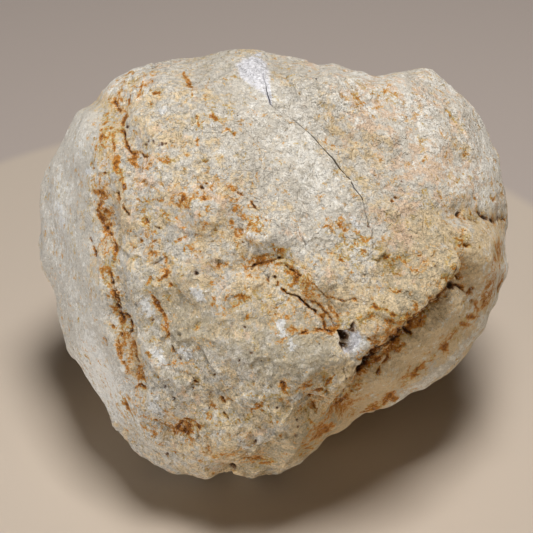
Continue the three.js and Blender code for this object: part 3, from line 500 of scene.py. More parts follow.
def inside(places, outline, soft):
    """1 inside an outline, 0 outside it, and a slope over so many pixels on its inner side."""
    distance, _, _ = from_path(places, outline + outline[:1], soft)
    x, y = places.T
    within = np.zeros(len(places), bool)
    for (x0, y0), (x1, y1) in zip(outline, outline[1:] + outline[:1]):
        if y0 != y1:
            within ^= ((y0 > y) != (y1 > y)) & (x < (x1 - x0) * (y - y0) / (y1 - y0) + x0)
    return within * rise(distance, 0, soft)


def band(places, path, wide, reach):
    """1 on a path, falling off over its half width, and 0 so many half widths away."""
    distance, _, _ = from_path(places, path, wide * reach)
    return np.exp(-(distance / wide)**2) * (distance < wide * reach)


def bands(places, rows, column=0):
    """Soft bands laid over each other: each row has a path, a half width and its values."""
    return sum(values[column] * band(places, path, wide, BROAD) for path, wide, *values in rows)


def strongest(places, rows, reach):
    """The strongest of soft bands: each row has a path, a half width and a strength."""
    return np.maximum.reduce([strength * band(places, path, wide, reach) for path, wide, strength in rows])


def round_spot(places, x, y, wide, high=None):
    """A soft round spot: 1 in its middle, falling off over its half width."""
    across = (places - (x, y)) / (wide, high or wide)
    return np.exp(-np.sum(across**2, axis=1))


# --- the fine grid and how far it reaches ------------------------------------------------------------
GRID_STEPS = 118             # how many times each of the icosahedron's 30 edges is cut
GRID_LEAN = 0.5              # how strongly the grid crowds on the side of the broad face
FAR = 100.0                  # rays start this far out
SKIN_SLOPE = 0.12            # a hit that faces outwards less than this is inside the fracture
SMOOTHING, HOLLOW_SMOOTHING = 26, 12     # rounds that wear facets away, and that show what is hollow
SMOOTHING_STEP = 0.7


def unit(vectors):
    """Vectors scaled to length 1."""
    return vectors / np.linalg.norm(vectors, axis=1)[:, None]


def direction_grid():
    """Unit directions all round, closer together towards the broad face, and the triangles between."""
    ball = bmesh.new()
    bmesh.ops.create_icosphere(ball, subdivisions=1, radius=1)
    corners = np.array([vertex.co for vertex in ball.verts])
    sides = [[vertex.index for vertex in face.verts] for face in ball.faces]
    ball.free()
    rows = [(i, j) for i in range(GRID_STEPS + 1) for j in range(GRID_STEPS + 1 - i)]
    place = {cell: n for n, cell in enumerate(rows)}
    shares = np.array([(GRID_STEPS - i - j, i, j) for i, j in rows]) / GRID_STEPS
    upright = [(place[i, j], place[i + 1, j], place[i, j + 1]) for i, j in rows if i + j < GRID_STEPS]
    upside_down = [(place[i + 1, j], place[i + 1, j + 1], place[i, j + 1])
                   for i, j in rows if i + j < GRID_STEPS - 1]
    points = np.concatenate([shares @ corners[side] for side in sides])
    faces = np.concatenate([np.array(upright + upside_down) + n * len(rows) for n in range(len(sides))])
    _, first, same = np.unique(np.round(points, 6), axis=0, return_index=True, return_inverse=True)
    return unit(unit(points[first]) + OUT * GRID_LEAN), same.ravel()[faces]


def neighbours_of(faces, count):
    """The five or six neighbours of each grid point, the last one repeated where there are five."""
    links = np.concatenate([faces[:, (0, 1)], faces[:, (1, 2)], faces[:, (2, 0)]])
    links = links[np.argsort(links[:, 0], kind="stable")]
    starts, ends = (np.searchsorted(links[:, 0], np.arange(count), side) for side in ("left", "right"))
    return links[np.minimum(starts[:, None] + np.arange(6), ends[:, None] - 1), 1]


def smoothed(values, neighbours, rounds):
    """Values spread over the grid by so many rounds of averaging."""
    for _ in range(rounds):
        values = values + SMOOTHING_STEP * (values[neighbours].mean(axis=1) - values)
    return values


def packed_reach(directions, neighbours):
    """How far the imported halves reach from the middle, in metres, with the fracture bridged."""
    points, polygons = [], []
    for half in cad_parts.values():
        polygons += [[v + len(points) for v in face.vertices] for face in half.data.polygons]
        points += [vertex.co.copy() for vertex in half.data.vertices]
    tree = BVHTree.FromPolygons(points, polygons)
    reach = np.full(len(directions), np.nan)
    for n, direction in enumerate(directions):
        hit, normal, _, _ = tree.ray_cast(Vector(MIDDLE + direction * FAR * MM), Vector(-direction))
        if hit and normal.dot(Vector(direction)) > SKIN_SLOPE:
            reach[n] = np.linalg.norm(np.array(hit) - MIDDLE)
    while np.isnan(reach).any():
        missing = np.isnan(reach)
        beside = reach[neighbours[missing]]
        known = (~np.isnan(beside)).sum(axis=1)
        reach[missing] = np.where(known > 0, np.nansum(beside, axis=1) / np.maximum(known, 1), np.nan)
    return smoothed(reach, neighbours, SMOOTHING)


def normals_of(points, faces):
    """A unit normal at each grid point."""
    a, b, c = (points[faces[:, n]] for n in range(3))
    normals = np.zeros_like(points)
    for n in range(3):
        np.add.at(normals, faces[:, n], np.cross(b - a, c - a))
    return unit(normals)


# --- relief and marks --------------------------------------------------------------------------------
BROAD, NARROW = 2.2, 3       # half widths out to which broad and narrow bands are looked at
# Sizes in mm and pixels of the wobble that turns drawn lines ragged, and its salt.
SHAKE, LEDGE_SHAKE = ([(1.5, 1.2), (0.6, 0.8)], 100), ([(1.2, 0.6)], 150)
LEDGE_INSET = 7.0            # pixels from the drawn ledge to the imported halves' own step
LEDGE_LIP, LIP_FADE, LIP_REACH = 2.8, 20.0, 50.0     # mm that the crust stands up along it, and pixels
LEDGE_DROP, DROP_FADE = 0.6, 5.0                     # mm that it drops there, and over which pixels
LEDGE_START, LEDGE_END, LEDGE_FADED = (0.0, 0.12), (0.62, 0.85), 0.65    # where it comes in and fades
LEDGE_EDGE, FOOT_EDGE = (-0.5, 1.0), (-1.5, 0.5)     # pixels over which its edge and its foot begin
FOOT_SHADOW_AND_STAIN, FOOT_REACH, FOOT_STAINED = 5.0, 25.0, 0.95   # pixels of the painted shadow and stain along its foot, and the stain's strength
FOOT_FADE = (0.2, 5.0)       # mm above the floor between which the relief comes in
# How squarely the skin faces the camera where drawn marks, tints and swells come in.
SEEN, TONED, SWELLED = (0.02, 0.22), (-0.25, 0.03), (-0.9, -0.2)
TEXTURE_LEAST, TEXTURE_MOST, TEXTURE_SWING = 0.15, 1.5, 0.3
CREASE_REACH = 5             # half widths from its line out to which a crease is looked at
STRANDS, STRAND_SIZE, STRAND_SALT = 3, 2.6, 500      # lines that wander side by side, over so many mm
BRAIDED = 1                  # creases that wander further than this many pixels are braids
SIDE_STRAND = 1.4            # how many times fainter the strands beside the first one are
WORN_SIZE, WORN_SALT, WORN = 1.7, 600, (-0.5, 0.2)   # of the noise in mm that wears creases away
WORN_LEAST, ENDS_LEAST = 0.45, 0.3                   # what is left of a crease there and at its ends
CREASE_STAIN, PIT_STAIN = 2.4, 1.4                   # how many times wider its stain is than a crease or pit
CREASE_DARK = 1.2
WEB, WEB_AREAS = (0.6, 0.9), (-0.15, 0.4)            # levels of the web of stain where nothing is drawn
STAIN_LEAST, WEB_STAIN, WEB_DRAWN = 0.1, 0.7, 0.55   # stain everywhere, in the web, and less where drawn
BREAK_EDGE, BREAK_CLEAN = 2.0, 0.8           # pixels over which a break deepens, and stain it takes off

# The crust's noises: size in mm, layers and salt.
BEND, TATTER, PATCHES, GRIT, SWELL = (6, 2, 200), (1.4, 2, 205), (13, 2, 240), (0.9, 2, 260), (3.2, 3, 250)
UNEVEN, WEB_NOISE, AREAS_NOISE = (16, 2, 300), (9, 3, 310), (20, 2, 320)
# Its tones: where each swings about, how far, and by which noise.
TONES = {"pale": (0.0, 0.35, (14, 3, 330)), "warm": (0.5, 0.45, (11, 3, 340)),
         "pink": (0.2, 0.35, (10, 3, 350))}
# Its broken plates: size in mm, salt and softness.
PLATES, SCALES, CHIPS = (11, 210, 12), (4.6, 220, 40), (2.2, 230, 70)
# How far in mm the plates are bent, where they are patchy, their heights, and the cracks' depths and
# widths between them.
BENT, TATTERED, PATCHY = 1.6, 0.5, (-0.35, 0.45)
PLATE_LEAST, PLATE_HEIGHT, SCALE_HEIGHT, CHIP_HEIGHT = 0.1, 0.65, 0.4, 0.17
SWELL_HEIGHT, SWELL_MIDDLE, GRIT_HEIGHT = 0.1, 0.4, 0.07
PLATE_CRACK, PLATE_GAP, SCALE_CRACK, SCALE_GAP = 0.3, 0.04, 0.15, 0.05


def shaken(mm, places, sizes, salt, facing):
    """Photograph places, wobbled by noise of some sizes in mm and amounts in pixels."""
    for step, (size, amount) in enumerate(sizes):
        places = places + amount * several(lambda key: noise(mm / size, key) * facing, salt + 10 * step, 2)
    return places


def crust_relief(mm, texture):
    """Relief of the crust in mm, from broken plates down to sugary grain."""
    bent, ragged = (mm + several(lambda key: rough(mm, size, count, key), salt) * amount
                    for (size, count, salt), amount in ((BEND, BENT), (TATTER, TATTERED)))
    plate, plate_edge = plates(bent, *PLATES)
    scale, scale_edge = plates(bent, *SCALES)
    chip, _ = plates(ragged, *CHIPS)
    patchy = rise(rough(mm, *PATCHES), *PATCHY)
    height = (PLATE_LEAST + PLATE_HEIGHT * texture) * plate
    height += texture * (SCALE_HEIGHT * scale + CHIP_HEIGHT * chip)
    height += texture * SWELL_HEIGHT * (creased(bent, *SWELL) - SWELL_MIDDLE)
    height += texture * GRIT_HEIGHT * rough(mm, *GRIT)
    for crack, edge, gap in ((PLATE_CRACK, plate_edge, PLATE_GAP), (SCALE_CRACK, scale_edge, SCALE_GAP)):
        height -= texture * patchy * crack * np.exp(-(edge / gap)**2)
    return height


def ledge_place(places, reach):
    """Pixels beyond the ledge, negative on the crust, and how marked the ledge is there."""
    distance, side, along = from_path(places, LEDGE, reach)
    return distance * side, rise(along, *LEDGE_START) * (1 - LEDGE_FADED * rise(along, *LEDGE_END))


def ledge_relief(places):
    """Relief of the ledge in mm: the crust stands up to its edge and the skin beyond lies deeper."""
    beyond, strength = ledge_place(places, LIP_REACH)
    beyond = beyond + LEDGE_INSET
    below = rise(beyond, *LEDGE_EDGE)
    lip = (1 - below) * np.exp(-(beyond / LIP_FADE)**2)
    drop = below * np.exp(-np.maximum(beyond, 0) / DROP_FADE)
    return strength * (LEDGE_LIP * lip - LEDGE_DROP * drop)


def ledge_foot(places):
    """How close to the ledge's shadowed foot each place is, from 0 to 1. It carries the painted shadow under
    the ledge and its stain.
    """
    beyond, strength = ledge_place(places, FOOT_REACH)
    return strength * rise(beyond, *FOOT_EDGE) * np.exp(-np.maximum(beyond, 0) / FOOT_SHADOW_AND_STAIN)


def crease_marks(mm, places, facing):
    """Depth in mm, stain and darkness of the creases: braids of thin lines that thicken and fade. The
    darkness is painted shade in the crevices together with dark dirt.
    """
    wobbles = [several(lambda key: noise(mm / STRAND_SIZE, key) * facing, STRAND_SALT + 20 * strand, 2)
               for strand in range(STRANDS)]
    groove, stain, shade_and_dirt = np.zeros((3, len(places)))
    for number, (path, wide, wander, *amounts) in enumerate(CREASES.values()):
        length = np.linalg.norm(np.diff(np.array(path, float), axis=0), axis=1).sum()
        for strand in range(STRANDS if wander > BRAIDED else 1):
            distance, _, along = from_path(places + wander * wobbles[strand], path, wide * CREASE_REACH)
            near = np.flatnonzero(distance < wide * CREASE_REACH)
            worn = rise(noise(mm[near] / WORN_SIZE, WORN_SALT + 3 * strand + number), *WORN)
            ends = np.minimum(along[near], 1 - along[near]) * length / (2 * wide)
            presence = np.clip(ends, ENDS_LEAST, 1) * (WORN_LEAST + (1 - WORN_LEAST) * worn)
            presence /= SIDE_STRAND if strand else 1
            for mark, amount, spread in zip((groove, stain, shade_and_dirt), amounts, (1, CREASE_STAIN, 1)):
                shape = np.exp(-(distance[near] / wide / spread)**2)
                mark[near] = np.maximum(mark[near], amount * presence * shape)
    return groove, stain, shade_and_dirt * CREASE_DARK


def drawn_marks(mm, places, facing):
    """Relief in mm, stain, darkness and freshness that the photograph shows at each place. The darkness is
    painted shade in crevices, pits and under the ledge, together with dark dirt.
    """
    groove, stain, shade_and_dirt = crease_marks(mm, places, facing)
    foot = ledge_foot(places)
    # The ledge's foot gets a painted shadow, and stain.
    height, shade_and_dirt, fresh = -groove, np.maximum(shade_and_dirt, foot**2), np.zeros(len(places))
    stains = [stain, FOOT_STAINED * foot]
    stains += [strongest(places, rows, reach) for rows, reach in ((STAIN_ZONES, BROAD), (THREADS, NARROW))]
    stains += [strength * round_spot(places, x, y, wide) for x, y, wide, strength in STAINS]
    for x, y, wide, depth, stained, darkened in PITS:
        spot = round_spot(places, x, y, wide)
        height -= depth * spot
        shade_and_dirt = np.maximum(shade_and_dirt, darkened * spot)
        stains.append(stained * round_spot(places, x, y, PIT_STAIN * wide))
    stain = np.maximum.reduce(stains)
    for outline, left, right, freshness, soft in BREAKS.values():
        xs = [x for x, _ in outline]
        share = np.clip((places[:, 0] - min(xs)) / (max(xs) - min(xs)), 0, 1)
        height -= inside(places, outline, BREAK_EDGE) * (left + (right - left) * share)
        broken = inside(places, outline, soft) * freshness
        fresh = np.maximum(fresh, broken)
        stain = stain * (1 - BREAK_CLEAN * broken)
    return height, stain, shade_and_dirt, fresh


def facing_of(points, normals):
    """How squarely the skin faces the camera: 1 squarely, 0 edge on, negative behind."""
    return np.sum(normals * unit(CAMERA_PLACE - points), axis=1)


def broad_relief(mm, places, facing, texture):
    """Relief in mm apart from the drawn marks: crust, lumps, and the outline's swells."""
    drawn = ledge_relief(shaken(mm, places, *LEDGE_SHAKE, 1.0))
    drawn += sum(proud * round_spot(places, *spot) for *spot, proud in LUMPS)
    swells = bands(places, SWELLS) * rise(facing, *SWELLED)
    return (crust_relief(mm, texture) + swells + drawn * rise(facing, *SEEN)) * rise(mm[:, 2], *FOOT_FADE)


def dressed_skin(points, normals):
    """The dressed skin: a point for each grid point, and the marks that its finish is mixed from."""
    facing = facing_of(points, normals)
    seen, toned, mild = rise(facing, *SEEN), rise(facing, *TONED), np.clip(facing, 0, 1)
    mm, places, outwards = points / MM, photo_place(points), unit(points - MIDDLE)
    texture = 1 + bands(places, TEXTURES) * toned + TEXTURE_SWING * rough(mm, *UNEVEN)
    texture = np.clip(texture, TEXTURE_LEAST, TEXTURE_MOST)
    points = points + outwards * broad_relief(mm, places, facing, texture)[:, None] * MM
    places = shaken(mm, photo_place(points), *SHAKE, mild)
    height, stain, shade_and_dirt, fresh = (mark * seen for mark in drawn_marks(mm, places, mild))
    points = points + outwards * (height * rise(mm[:, 2], *FOOT_FADE))[:, None] * MM
    web = rise(1 - creased(mm, *WEB_NOISE), *WEB) * rise(rough(mm, *AREAS_NOISE), *WEB_AREAS)
    marks = {"shade_and_dirt": shade_and_dirt, "fresh": fresh, "texture": texture / TEXTURE_MOST,
             "stain": np.maximum(stain, STAIN_LEAST + web * (WEB_STAIN - WEB_DRAWN * toned)),
             "crystal": bands(places, CRYSTALS) * seen}
    # The tones take the broad tints, some of which are painted light and painted shade.
    for column, (name, (middle, swing, size)) in enumerate(TONES.items()):
        marks[name] = middle + swing * rough(mm, *size) + bands(places, TINTS, column) * toned
    return points, marks


# --- splitting the stone along its fracture -----------------------------------------------------------
SWAY, SWAY_LENGTH = 2.2, 40.0        # the fracture's bend through the stone, as in the CAD source
ABOVE = [(62, -4.5), (48, -2.6)]     # the fracture above and below what the photograph shows:
BELOW = [(-27, 13.3), (-33, 9.5), (-46, 6.0), (-64, 5.0)]      # height up the face, then x, both in mm
GAPE_UNSEEN = 0.05                   # mm between the halves where the photograph doesn't show it
FACE = 0.1                           # skin that looks out of the face more than this can carry the fracture
CUT_SPAN, CUT_STEP = 68.0, (0.45, 2.2)       # mm that the cut reaches each way, its steps up and outwards
CUT_NOISE, CUT_ROUGHNESS = (6, 3, 400), 0.45
ISLAND = (0.3, 0.8)                  # mm from the skin between which the fracture face begins
HOLLOW = 0.3                         # mm below the smoothed skin that counts as fully hollow
CREASE_ANGLE = math.radians(62)


def sway(out):
    """Sideways bend of the fracture in mm, by the distance out of the face."""
    return SWAY * np.sin(2 * math.pi * out / SWAY_LENGTH)


def fracture_knots(points, normals):
    """The fracture's height up the face, its x and its gape, in mm, from its foot to its top."""
    shown = points[np.sum(normals * OUT, axis=1) > FACE]
    places = photo_place(shown)
    knots = [(up, x, GAPE_UNSEEN) for up, x in BELOW[::-1]]
    for x, y, gape in FRACTURE[::-1]:
        nearest = shown[np.argmin(np.sum((places - (x, y))**2, axis=1))]
        depth = (CAMERA_PLACE - nearest) @ OUT
        pixel = depth * SENSOR / IMAGE / LENS
        across = RIGHT * (x - IMAGE / 2) * pixel + UP * (IMAGE / 2 - y) * pixel
        place = (CAMERA_PLACE - OUT * depth + across - MIDDLE) / MM
        knots.append((place @ UP, place @ RIGHT - sway(place @ OUT), gape))
    return np.array(knots + [(up, x, GAPE_UNSEEN) for up, x in ABOVE[::-1]])


def fracture_block(knots, side):
    """A solid block that holds everything left (-1) or right (1) of the fracture."""
    ups, outs = (np.arange(-CUT_SPAN, CUT_SPAN, step) for step in CUT_STEP)
    up, out = (grid.ravel() for grid in np.meshgrid(ups, outs, indexing="ij"))
    ragged = rough(np.stack([0 * up, up, out], axis=-1), *CUT_NOISE) * CUT_ROUGHNESS
    right = np.interp(up, knots[:, 0], knots[:, 1]) + sway(out) + ragged
    right += side * np.interp(up, knots[:, 0], knots[:, 2]) / 2
    layers = [np.stack([value, up, out], axis=-1) for value in (right, np.full_like(right, side * CUT_SPAN))]
    points = MIDDLE + np.concatenate(layers) @ np.stack([RIGHT, UP, OUT]) * MM
    cell = np.arange(len(up)).reshape(len(ups), len(outs))
    corners = (cell[:-1, :-1], cell[1:, :-1], cell[1:, 1:], cell[:-1, 1:])
    front = np.stack([corner.ravel() for corner in corners], axis=-1)
    rim = np.concatenate([cell[0], cell[1:, -1], cell[-1, -2::-1], cell[-2:0:-1, 0]])
    onward = np.roll(rim, -1)
    walls = np.stack([rim, onward, onward + len(up), rim + len(up)], axis=-1)
    mesh = bpy.data.meshes.new("block")
    mesh.from_pydata(points, [], np.concatenate([front, front[:, ::-1] + len(up), walls]))
    return solid_object("block", mesh)


def linked(name, data):
    """A new object in the scene."""
    made = bpy.data.objects.new(name, data)
    bpy.context.scene.collection.objects.link(made)
    return made


def solid_object(name, mesh):
    """An object for a closed mesh, with every face turned outwards."""
    work = bmesh.new()
    work.from_mesh(mesh)
    bmesh.ops.recalc_face_normals(work, faces=work.faces)
    work.to_mesh(mesh)
    work.free()
    return linked(name, mesh)


def island_of(start, unseen):
    """The points of the connected body that a point belongs to, taken out of those unseen."""
    island, front = set(), [start]
    while front:
        vertex = front.pop()
        island.add(vertex)
        for edge in vertex.link_edges:
            other = edge.other_vert(vertex)
            if other in unseen:
                unseen.discard(other)
                front.append(other)
    return island


def keep_largest(mesh):
    """Drops the crumbs that a split leaves, and keeps the one big closed body."""
    work = bmesh.new()
    work.from_mesh(mesh)
    unseen, islands = set(work.verts), []
    while unseen:
        islands.append(island_of(unseen.pop(), unseen))
    for crumb in sorted(islands, key=len)[:-1]:
        bmesh.ops.delete(work, geom=list(crumb), context="VERTS")
    bmesh.ops.triangulate(work, faces=work.faces)
    work.to_mesh(mesh)
    work.free()


def split_half(name, stone, block):
    """One half: the part of the stone that the block holds."""
    cut = stone.modifiers.new("split", "BOOLEAN")
    cut.operation, cut.solver, cut.object = "INTERSECT", "MANIFOLD", block
    mesh = bpy.data.meshes.new_from_object(stone.evaluated_get(bpy.context.evaluated_depsgraph_get()))
    stone.modifiers.remove(cut)
    keep_largest(mesh)
    mesh.name = name
    return linked(name, mesh)


def take_marks(half, points, marks):
    """Gives each point of a half the marks of the nearest point of the whole skin."""
    tree = KDTree(len(points))
    for n, point in enumerate(points):
        tree.insert(point, n)
    tree.balance()
    _, nearest, distances = zip(*(tree.find(vertex.co) for vertex in half.data.vertices))
    nearest, broken = np.array(nearest), rise(np.array(distances) / MM, *ISLAND)
    for name, values in marks.items():
        worn = values[nearest]
        if name == "fresh":
            worn = np.maximum(worn, broken)
        elif name in ("stain", "shade_and_dirt", "hollow", "crystal"):
            worn = worn * (1 - broken)
        layer = half.data.attributes.new(name, "FLOAT", "POINT")
        layer.data.foreach_set("value", worn.astype(np.float32))


def whole_stone():
    """The dressed stone before it is split: its points, its triangles and the marks of its skin."""
    directions, faces = direction_grid()
    neighbours = neighbours_of(faces, len(directions))
    points = MIDDLE + directions * packed_reach(directions, neighbours)[:, None]
    points, marks = dressed_skin(points, normals_of(points, faces))
    reach = np.linalg.norm(points - MIDDLE, axis=1)
    depth = smoothed(reach, neighbours, HOLLOW_SMOOTHING) - reach
    marks["hollow"] = np.clip(depth / MM / HOLLOW, -1, 1)
    points[:, 2] = np.maximum(points[:, 2], 0)
    return points, faces, marks


def make_halves():
    """The two dressed halves, closed on each other."""
    points, faces, marks = whole_stone()
    knots = fracture_knots(points, normals_of(points, faces))
    mesh = bpy.data.meshes.new("stone")
    mesh.from_pydata(points, [], faces)
    stone, halves = solid_object("stone", mesh), {}
    for name, side in (("large_half", -1), ("small_half", 1)):
        block = fracture_block(knots, side)
        halves[name] = split_half(name + "_crust", stone, block)
        take_marks(halves[name], points, marks)
        halves[name].data.shade_smooth()
        halves[name].data.set_sharp_from_angle(angle=CREASE_ANGLE)
        bpy.data.objects.remove(block)
    bpy.data.objects.remove(stone)
    return halves


# --- the crust's finish -------------------------------------------------------------------------------
def colour(red, green, blue):
    """A colour given as it looks on screen, 0 to 255, as Blender's linear values."""
    parts = (value / 255 for value in (red, green, blue))
    return (*((p / 12.92 if p <= 0.04045 else ((p + 0.055) / 1.055)**2.4) for p in parts), 1)


GREY_WHITE, CREAM, PINK_CREAM = colour(212, 205, 193), colour(222, 200, 164), colour(226, 196, 168)
# The near-black colour serves dark specks and painted shade; the dull colour is also painted shade where the
# broad tints darken the skin.
CHALK, DULL_AND_SHADE, DIRT_AND_SHADE = colour(236, 232, 224), colour(178, 166, 142), colour(58, 38, 18)
STAIN_LIGHT, STAIN_OLIVE = colour(214, 172, 112), colour(196, 168, 96)
# The darkest rust serves rusty cores and dark flecks, and also painted shade in crevices and pits.
STAIN_DEEP, DARK_RUST_AND_SHADE = colour(190, 122, 38), colour(112, 62, 16)
ICE, FRESH = colour(233, 232, 230), colour(232, 231, 236)

# Noises of the finish: size in mm, detail, a number that gives each its own place, and contrast.
NOISES = {
    "sand": (0.27, 2, 1, 0.7), "grain": (0.8, 5, 2, 0.7), "mottle": (2.0, 6, 3, 0.68),
    "patch": (5.5, 4, 4, 0.6), "blush": (3.0, 5, 5, 0.65), "bleach": (1.6, 6, 6, 0.72),
    "fleck": (1.3, 5, 7, 0.66), "polish": (0.6, 3, 8, 0.6), "bumps": (1.0, 4, 12, 0.6),
    "grit": (0.34, 2, 13, 0.7), "olive": (7.0, 3, 15, 0.6), "dust": (0.5, 4, 16, 0.75),
    "blot": (2.6, 3, 18, 0.55), "sugar": (0.9, 4, 19, 0.7), "hairy": (4.0, 3, 22, 0.6),
}
THREAD_NOISE, FLAKE_NOISE = (4, 0.62), (5, 0.62)      # detail and contrast
# Threads: size in mm, width as a share of the noise, and a number that gives each its own place.
LONG_THREADS, SHORT_THREADS, HAIR_THREADS = (3.4, 0.05, 14), (1.7, 0.06, 17), (2.2, 0.04, 23)
# Flakes: size in mm, how many lie on each other, and a number that gives each its own place.
BIG_FLAKES, SMALL_FLAKES = (5.0, 9.0, 24), (2.0, 7.0, 25)
SALT_STEP = (0.37, 0.61, 0.83)                        # metres between one such place and the next
DOTS, DOT_EDGE, DOT_RARITY = 2.4, (0.06, 0.1), 0.85   # cells in mm, a dot's edge, and cells without one
CRYSTALS_SIZE, CHIPS_SIZE, CHIPS_BEND = 0.42, 1.5, (0.8, 0.5)

# What each layer of colour follows: the mesh's mark of that name, and how far noises swing it.
SWINGS = {
    "warm": {"mottle": 1.4, "patch": 0.9, "grain": 0.5},
    "pink": {"blush": 1.7, "grain": 0.4},
    "pale": {"bleach": 1.8, "sand": 0.4},
    "stain": {"fleck": 0.65, "blot": 0.6, "sand": 0.2},
    "shade_and_dirt": {"grain": 0.5, "sand": 0.4},
    "crystal": {"sugar": 1.6},
    "fresh": {"grain": 0.35},
}
# Stain that the hollows take, painted shade that darkens their colour, and painted shade that dims their
# brightness.
STAIN_IN_HOLLOWS, HOLLOW_SHADE_DARKNESS, SHADE_IN_HOLLOWS = 0.14, 0.1, -0.1
LONG_STAIN, SHORT_STAIN, HAIR_DARK, DOT_DARK, SHADE_AND_DIRT_ON_BREAKS = 0.26, 0.14, 0.22, 0.8, -0.7
BUMP_HEIGHT, GRIT_BUMP, BIG_FLAKE_HEIGHT, SMALL_FLAKE_HEIGHT = 0.12, 0.2, 0.22, 0.12     # mm


class Graph:
    """Builds a material's nodes. A wire is a number, a colour or another node's output."""

    def __init__(self, name):
        self.material = bpy.data.materials.new(name)
        self.material.use_nodes = True
        self.tree = self.material.node_tree
        self.shader = self.tree.nodes["Principled BSDF"]
        self.place = self.add("TexCoord", output="Object")
        self.made = {}

    def add(self, kind, wires=(), output=0, **settings):
        """One output of a new node. wires are its inputs, in their order or by name or number."""
        node = self.tree.nodes.new("ShaderNode" + kind)
        for name, value in settings.items():
            setattr(node, name, value)
        for name, value in wires.items() if isinstance(wires, dict) else enumerate(wires):
            self.wire(node.inputs[name], value)
        return node.outputs[output]

    def wire(self, socket, value):
        if isinstance(value, bpy.types.NodeSocket):
            self.tree.links.new(value, socket)
        else:
            socket.default_value = value

    def maths(self, operation, *numbers):
        return self.add("Math", numbers, operation=operation)

    def times(self, a, b):
        return self.maths("MULTIPLY", a, b)

    def vector(self, operation, a, b, output=0):
        return self.add("VectorMath", (a, b), output, operation=operation)

    def total(self, first, *others):
        for other in others:
            first = self.maths("ADD", first, other)
        return first

    def blend(self, share, first, second, kind="MIX"):
        """The second colour laid over the first."""
        return self.add("Mix", {0: share, 6: first, 7: second}, 2, data_type="RGBA", blend_type=kind)

    def span(self, value, low, high, start=0.0, end=1.0):
        """The value's place between low and high, as a smooth curve from start to end."""
        return self.add("MapRange", (value, low, high, start, end), interpolation_type="SMOOTHSTEP")

    def coat(self, base, top, value, low, high, start=0.0, end=1.0):
        """A colour laid over the base, by the value's place between low and high."""
        return self.blend(self.span(value, low, high, start, end), base, top)

    def mark(self, name):
        """A mark that the mesh carries at its points."""
        return self.add("Attribute", output="Fac", attribute_name=name)

    def noise(self, size, detail, salt, contrast, output="Fac"):
        """Noise of a size in mm, 0 to 1, moved by its salt so that none repeats another."""
        place = self.vector("ADD", self.place, [salt * step for step in SALT_STEP])
        return self.add("TexNoise", {"Vector": place, "Scale": 1 / (size * MM), "Detail": detail,
                                     "Roughness": contrast}, output)

    def named(self, name):
        """The output of one of the named noises, made once."""
        if name not in self.made:
            self.made[name] = self.noise(*NOISES[name])
        return self.made[name]

    def around(self, value, amount):
        """A value from 0 to 1, turned to swing this far to either side of 0."""
        return self.maths("MULTIPLY_ADD", value, 2 * amount, -amount)

    def level(self, name, *others):
        """What a layer of colour follows."""
        swings = (self.around(self.named(noise), amount) for noise, amount in SWINGS[name].items())
        return self.total(self.mark(name), *others, *swings)

    def bent(self, size, amount):
        """The place on the object, wobbled by noise of a size and an amount in mm."""
        wobble = self.vector("SUBTRACT", self.noise(size, 2, 9, 0.6, "Color"), (0.5, 0.5, 0.5))
        away = self.add("VectorMath", {0: wobble, "Scale": 2 * amount * MM}, operation="SCALE")
        return self.vector("ADD", self.place, away)

    def cells(self, size, place=None, output="Distance"):
        """Random cells of a size in mm: the distance from their middles, or a colour for each."""
        return self.add("TexVoronoi", {"Vector": place or self.place, "Scale": 1 / (size * MM)}, output)

    def pick(self, size, place=None):
        """A random number for each cell."""
        return self.add("SeparateColor", (self.cells(size, place, "Color"),))


def threads(graph, size, width, salt):
    """Ragged threads of a noise: 1 on a thread and 0 away from it."""
    detail, contrast = THREAD_NOISE
    level = graph.maths("SUBTRACT", graph.noise(size, detail, salt, contrast), 0.5)
    return graph.span(graph.maths("ABSOLUTE", level), width * 0.4, width, 1.0, 0.0)


def flakes(graph, size, count, salt):
    """Thin flakes that lie on each other: their height in steps, and 1 along their ragged edges."""
    detail, contrast = FLAKE_NOISE
    level = graph.times(graph.noise(size, detail, salt, contrast), count)
    climb = graph.span(graph.maths("FRACT", level), 0.3, 0.6)
    edge = graph.times(graph.times(climb, graph.maths("SUBTRACT", 1.0, climb)), 4.0)
    return graph.total(graph.maths("FLOOR", level), climb), edge


def hairs(graph):
    """Dark hair lines along the flakes' edges, in some patches only."""
    lines = graph.maths("MAXIMUM", flakes(graph, *BIG_FLAKES)[1], threads(graph, *HAIR_THREADS))
    return graph.times(lines, graph.span(graph.named("hairy"), 0.44, 0.6))


def dots(graph):
    """Tiny dots, one in a few of the cells."""
    dot = graph.span(graph.cells(DOTS), *DOT_EDGE, 1.0, 0.0)
    return graph.times(dot, graph.maths("GREATER_THAN", graph.pick(DOTS), DOT_RARITY))


def clean_colour(graph):
    """Whitish crust with warm, pinkish, chalky and dull flakes, made paler and duller in places by painted
    light and painted shade.
    """
    base = graph.coat(GREY_WHITE, CREAM, graph.level("warm"), 0.3, 0.85)
    base = graph.coat(base, PINK_CREAM, graph.level("pink"), 0.45, 0.85, 0.0, 0.8)
    pale = graph.level("pale")
    base = graph.coat(base, CHALK, pale, 0.42, 0.8)
    # Dull where pale is low: partly the crust's own tone, and partly painted shade from the broad tints.
    return graph.coat(base, DULL_AND_SHADE, pale, -0.75, -0.05, 0.85, 0.0)


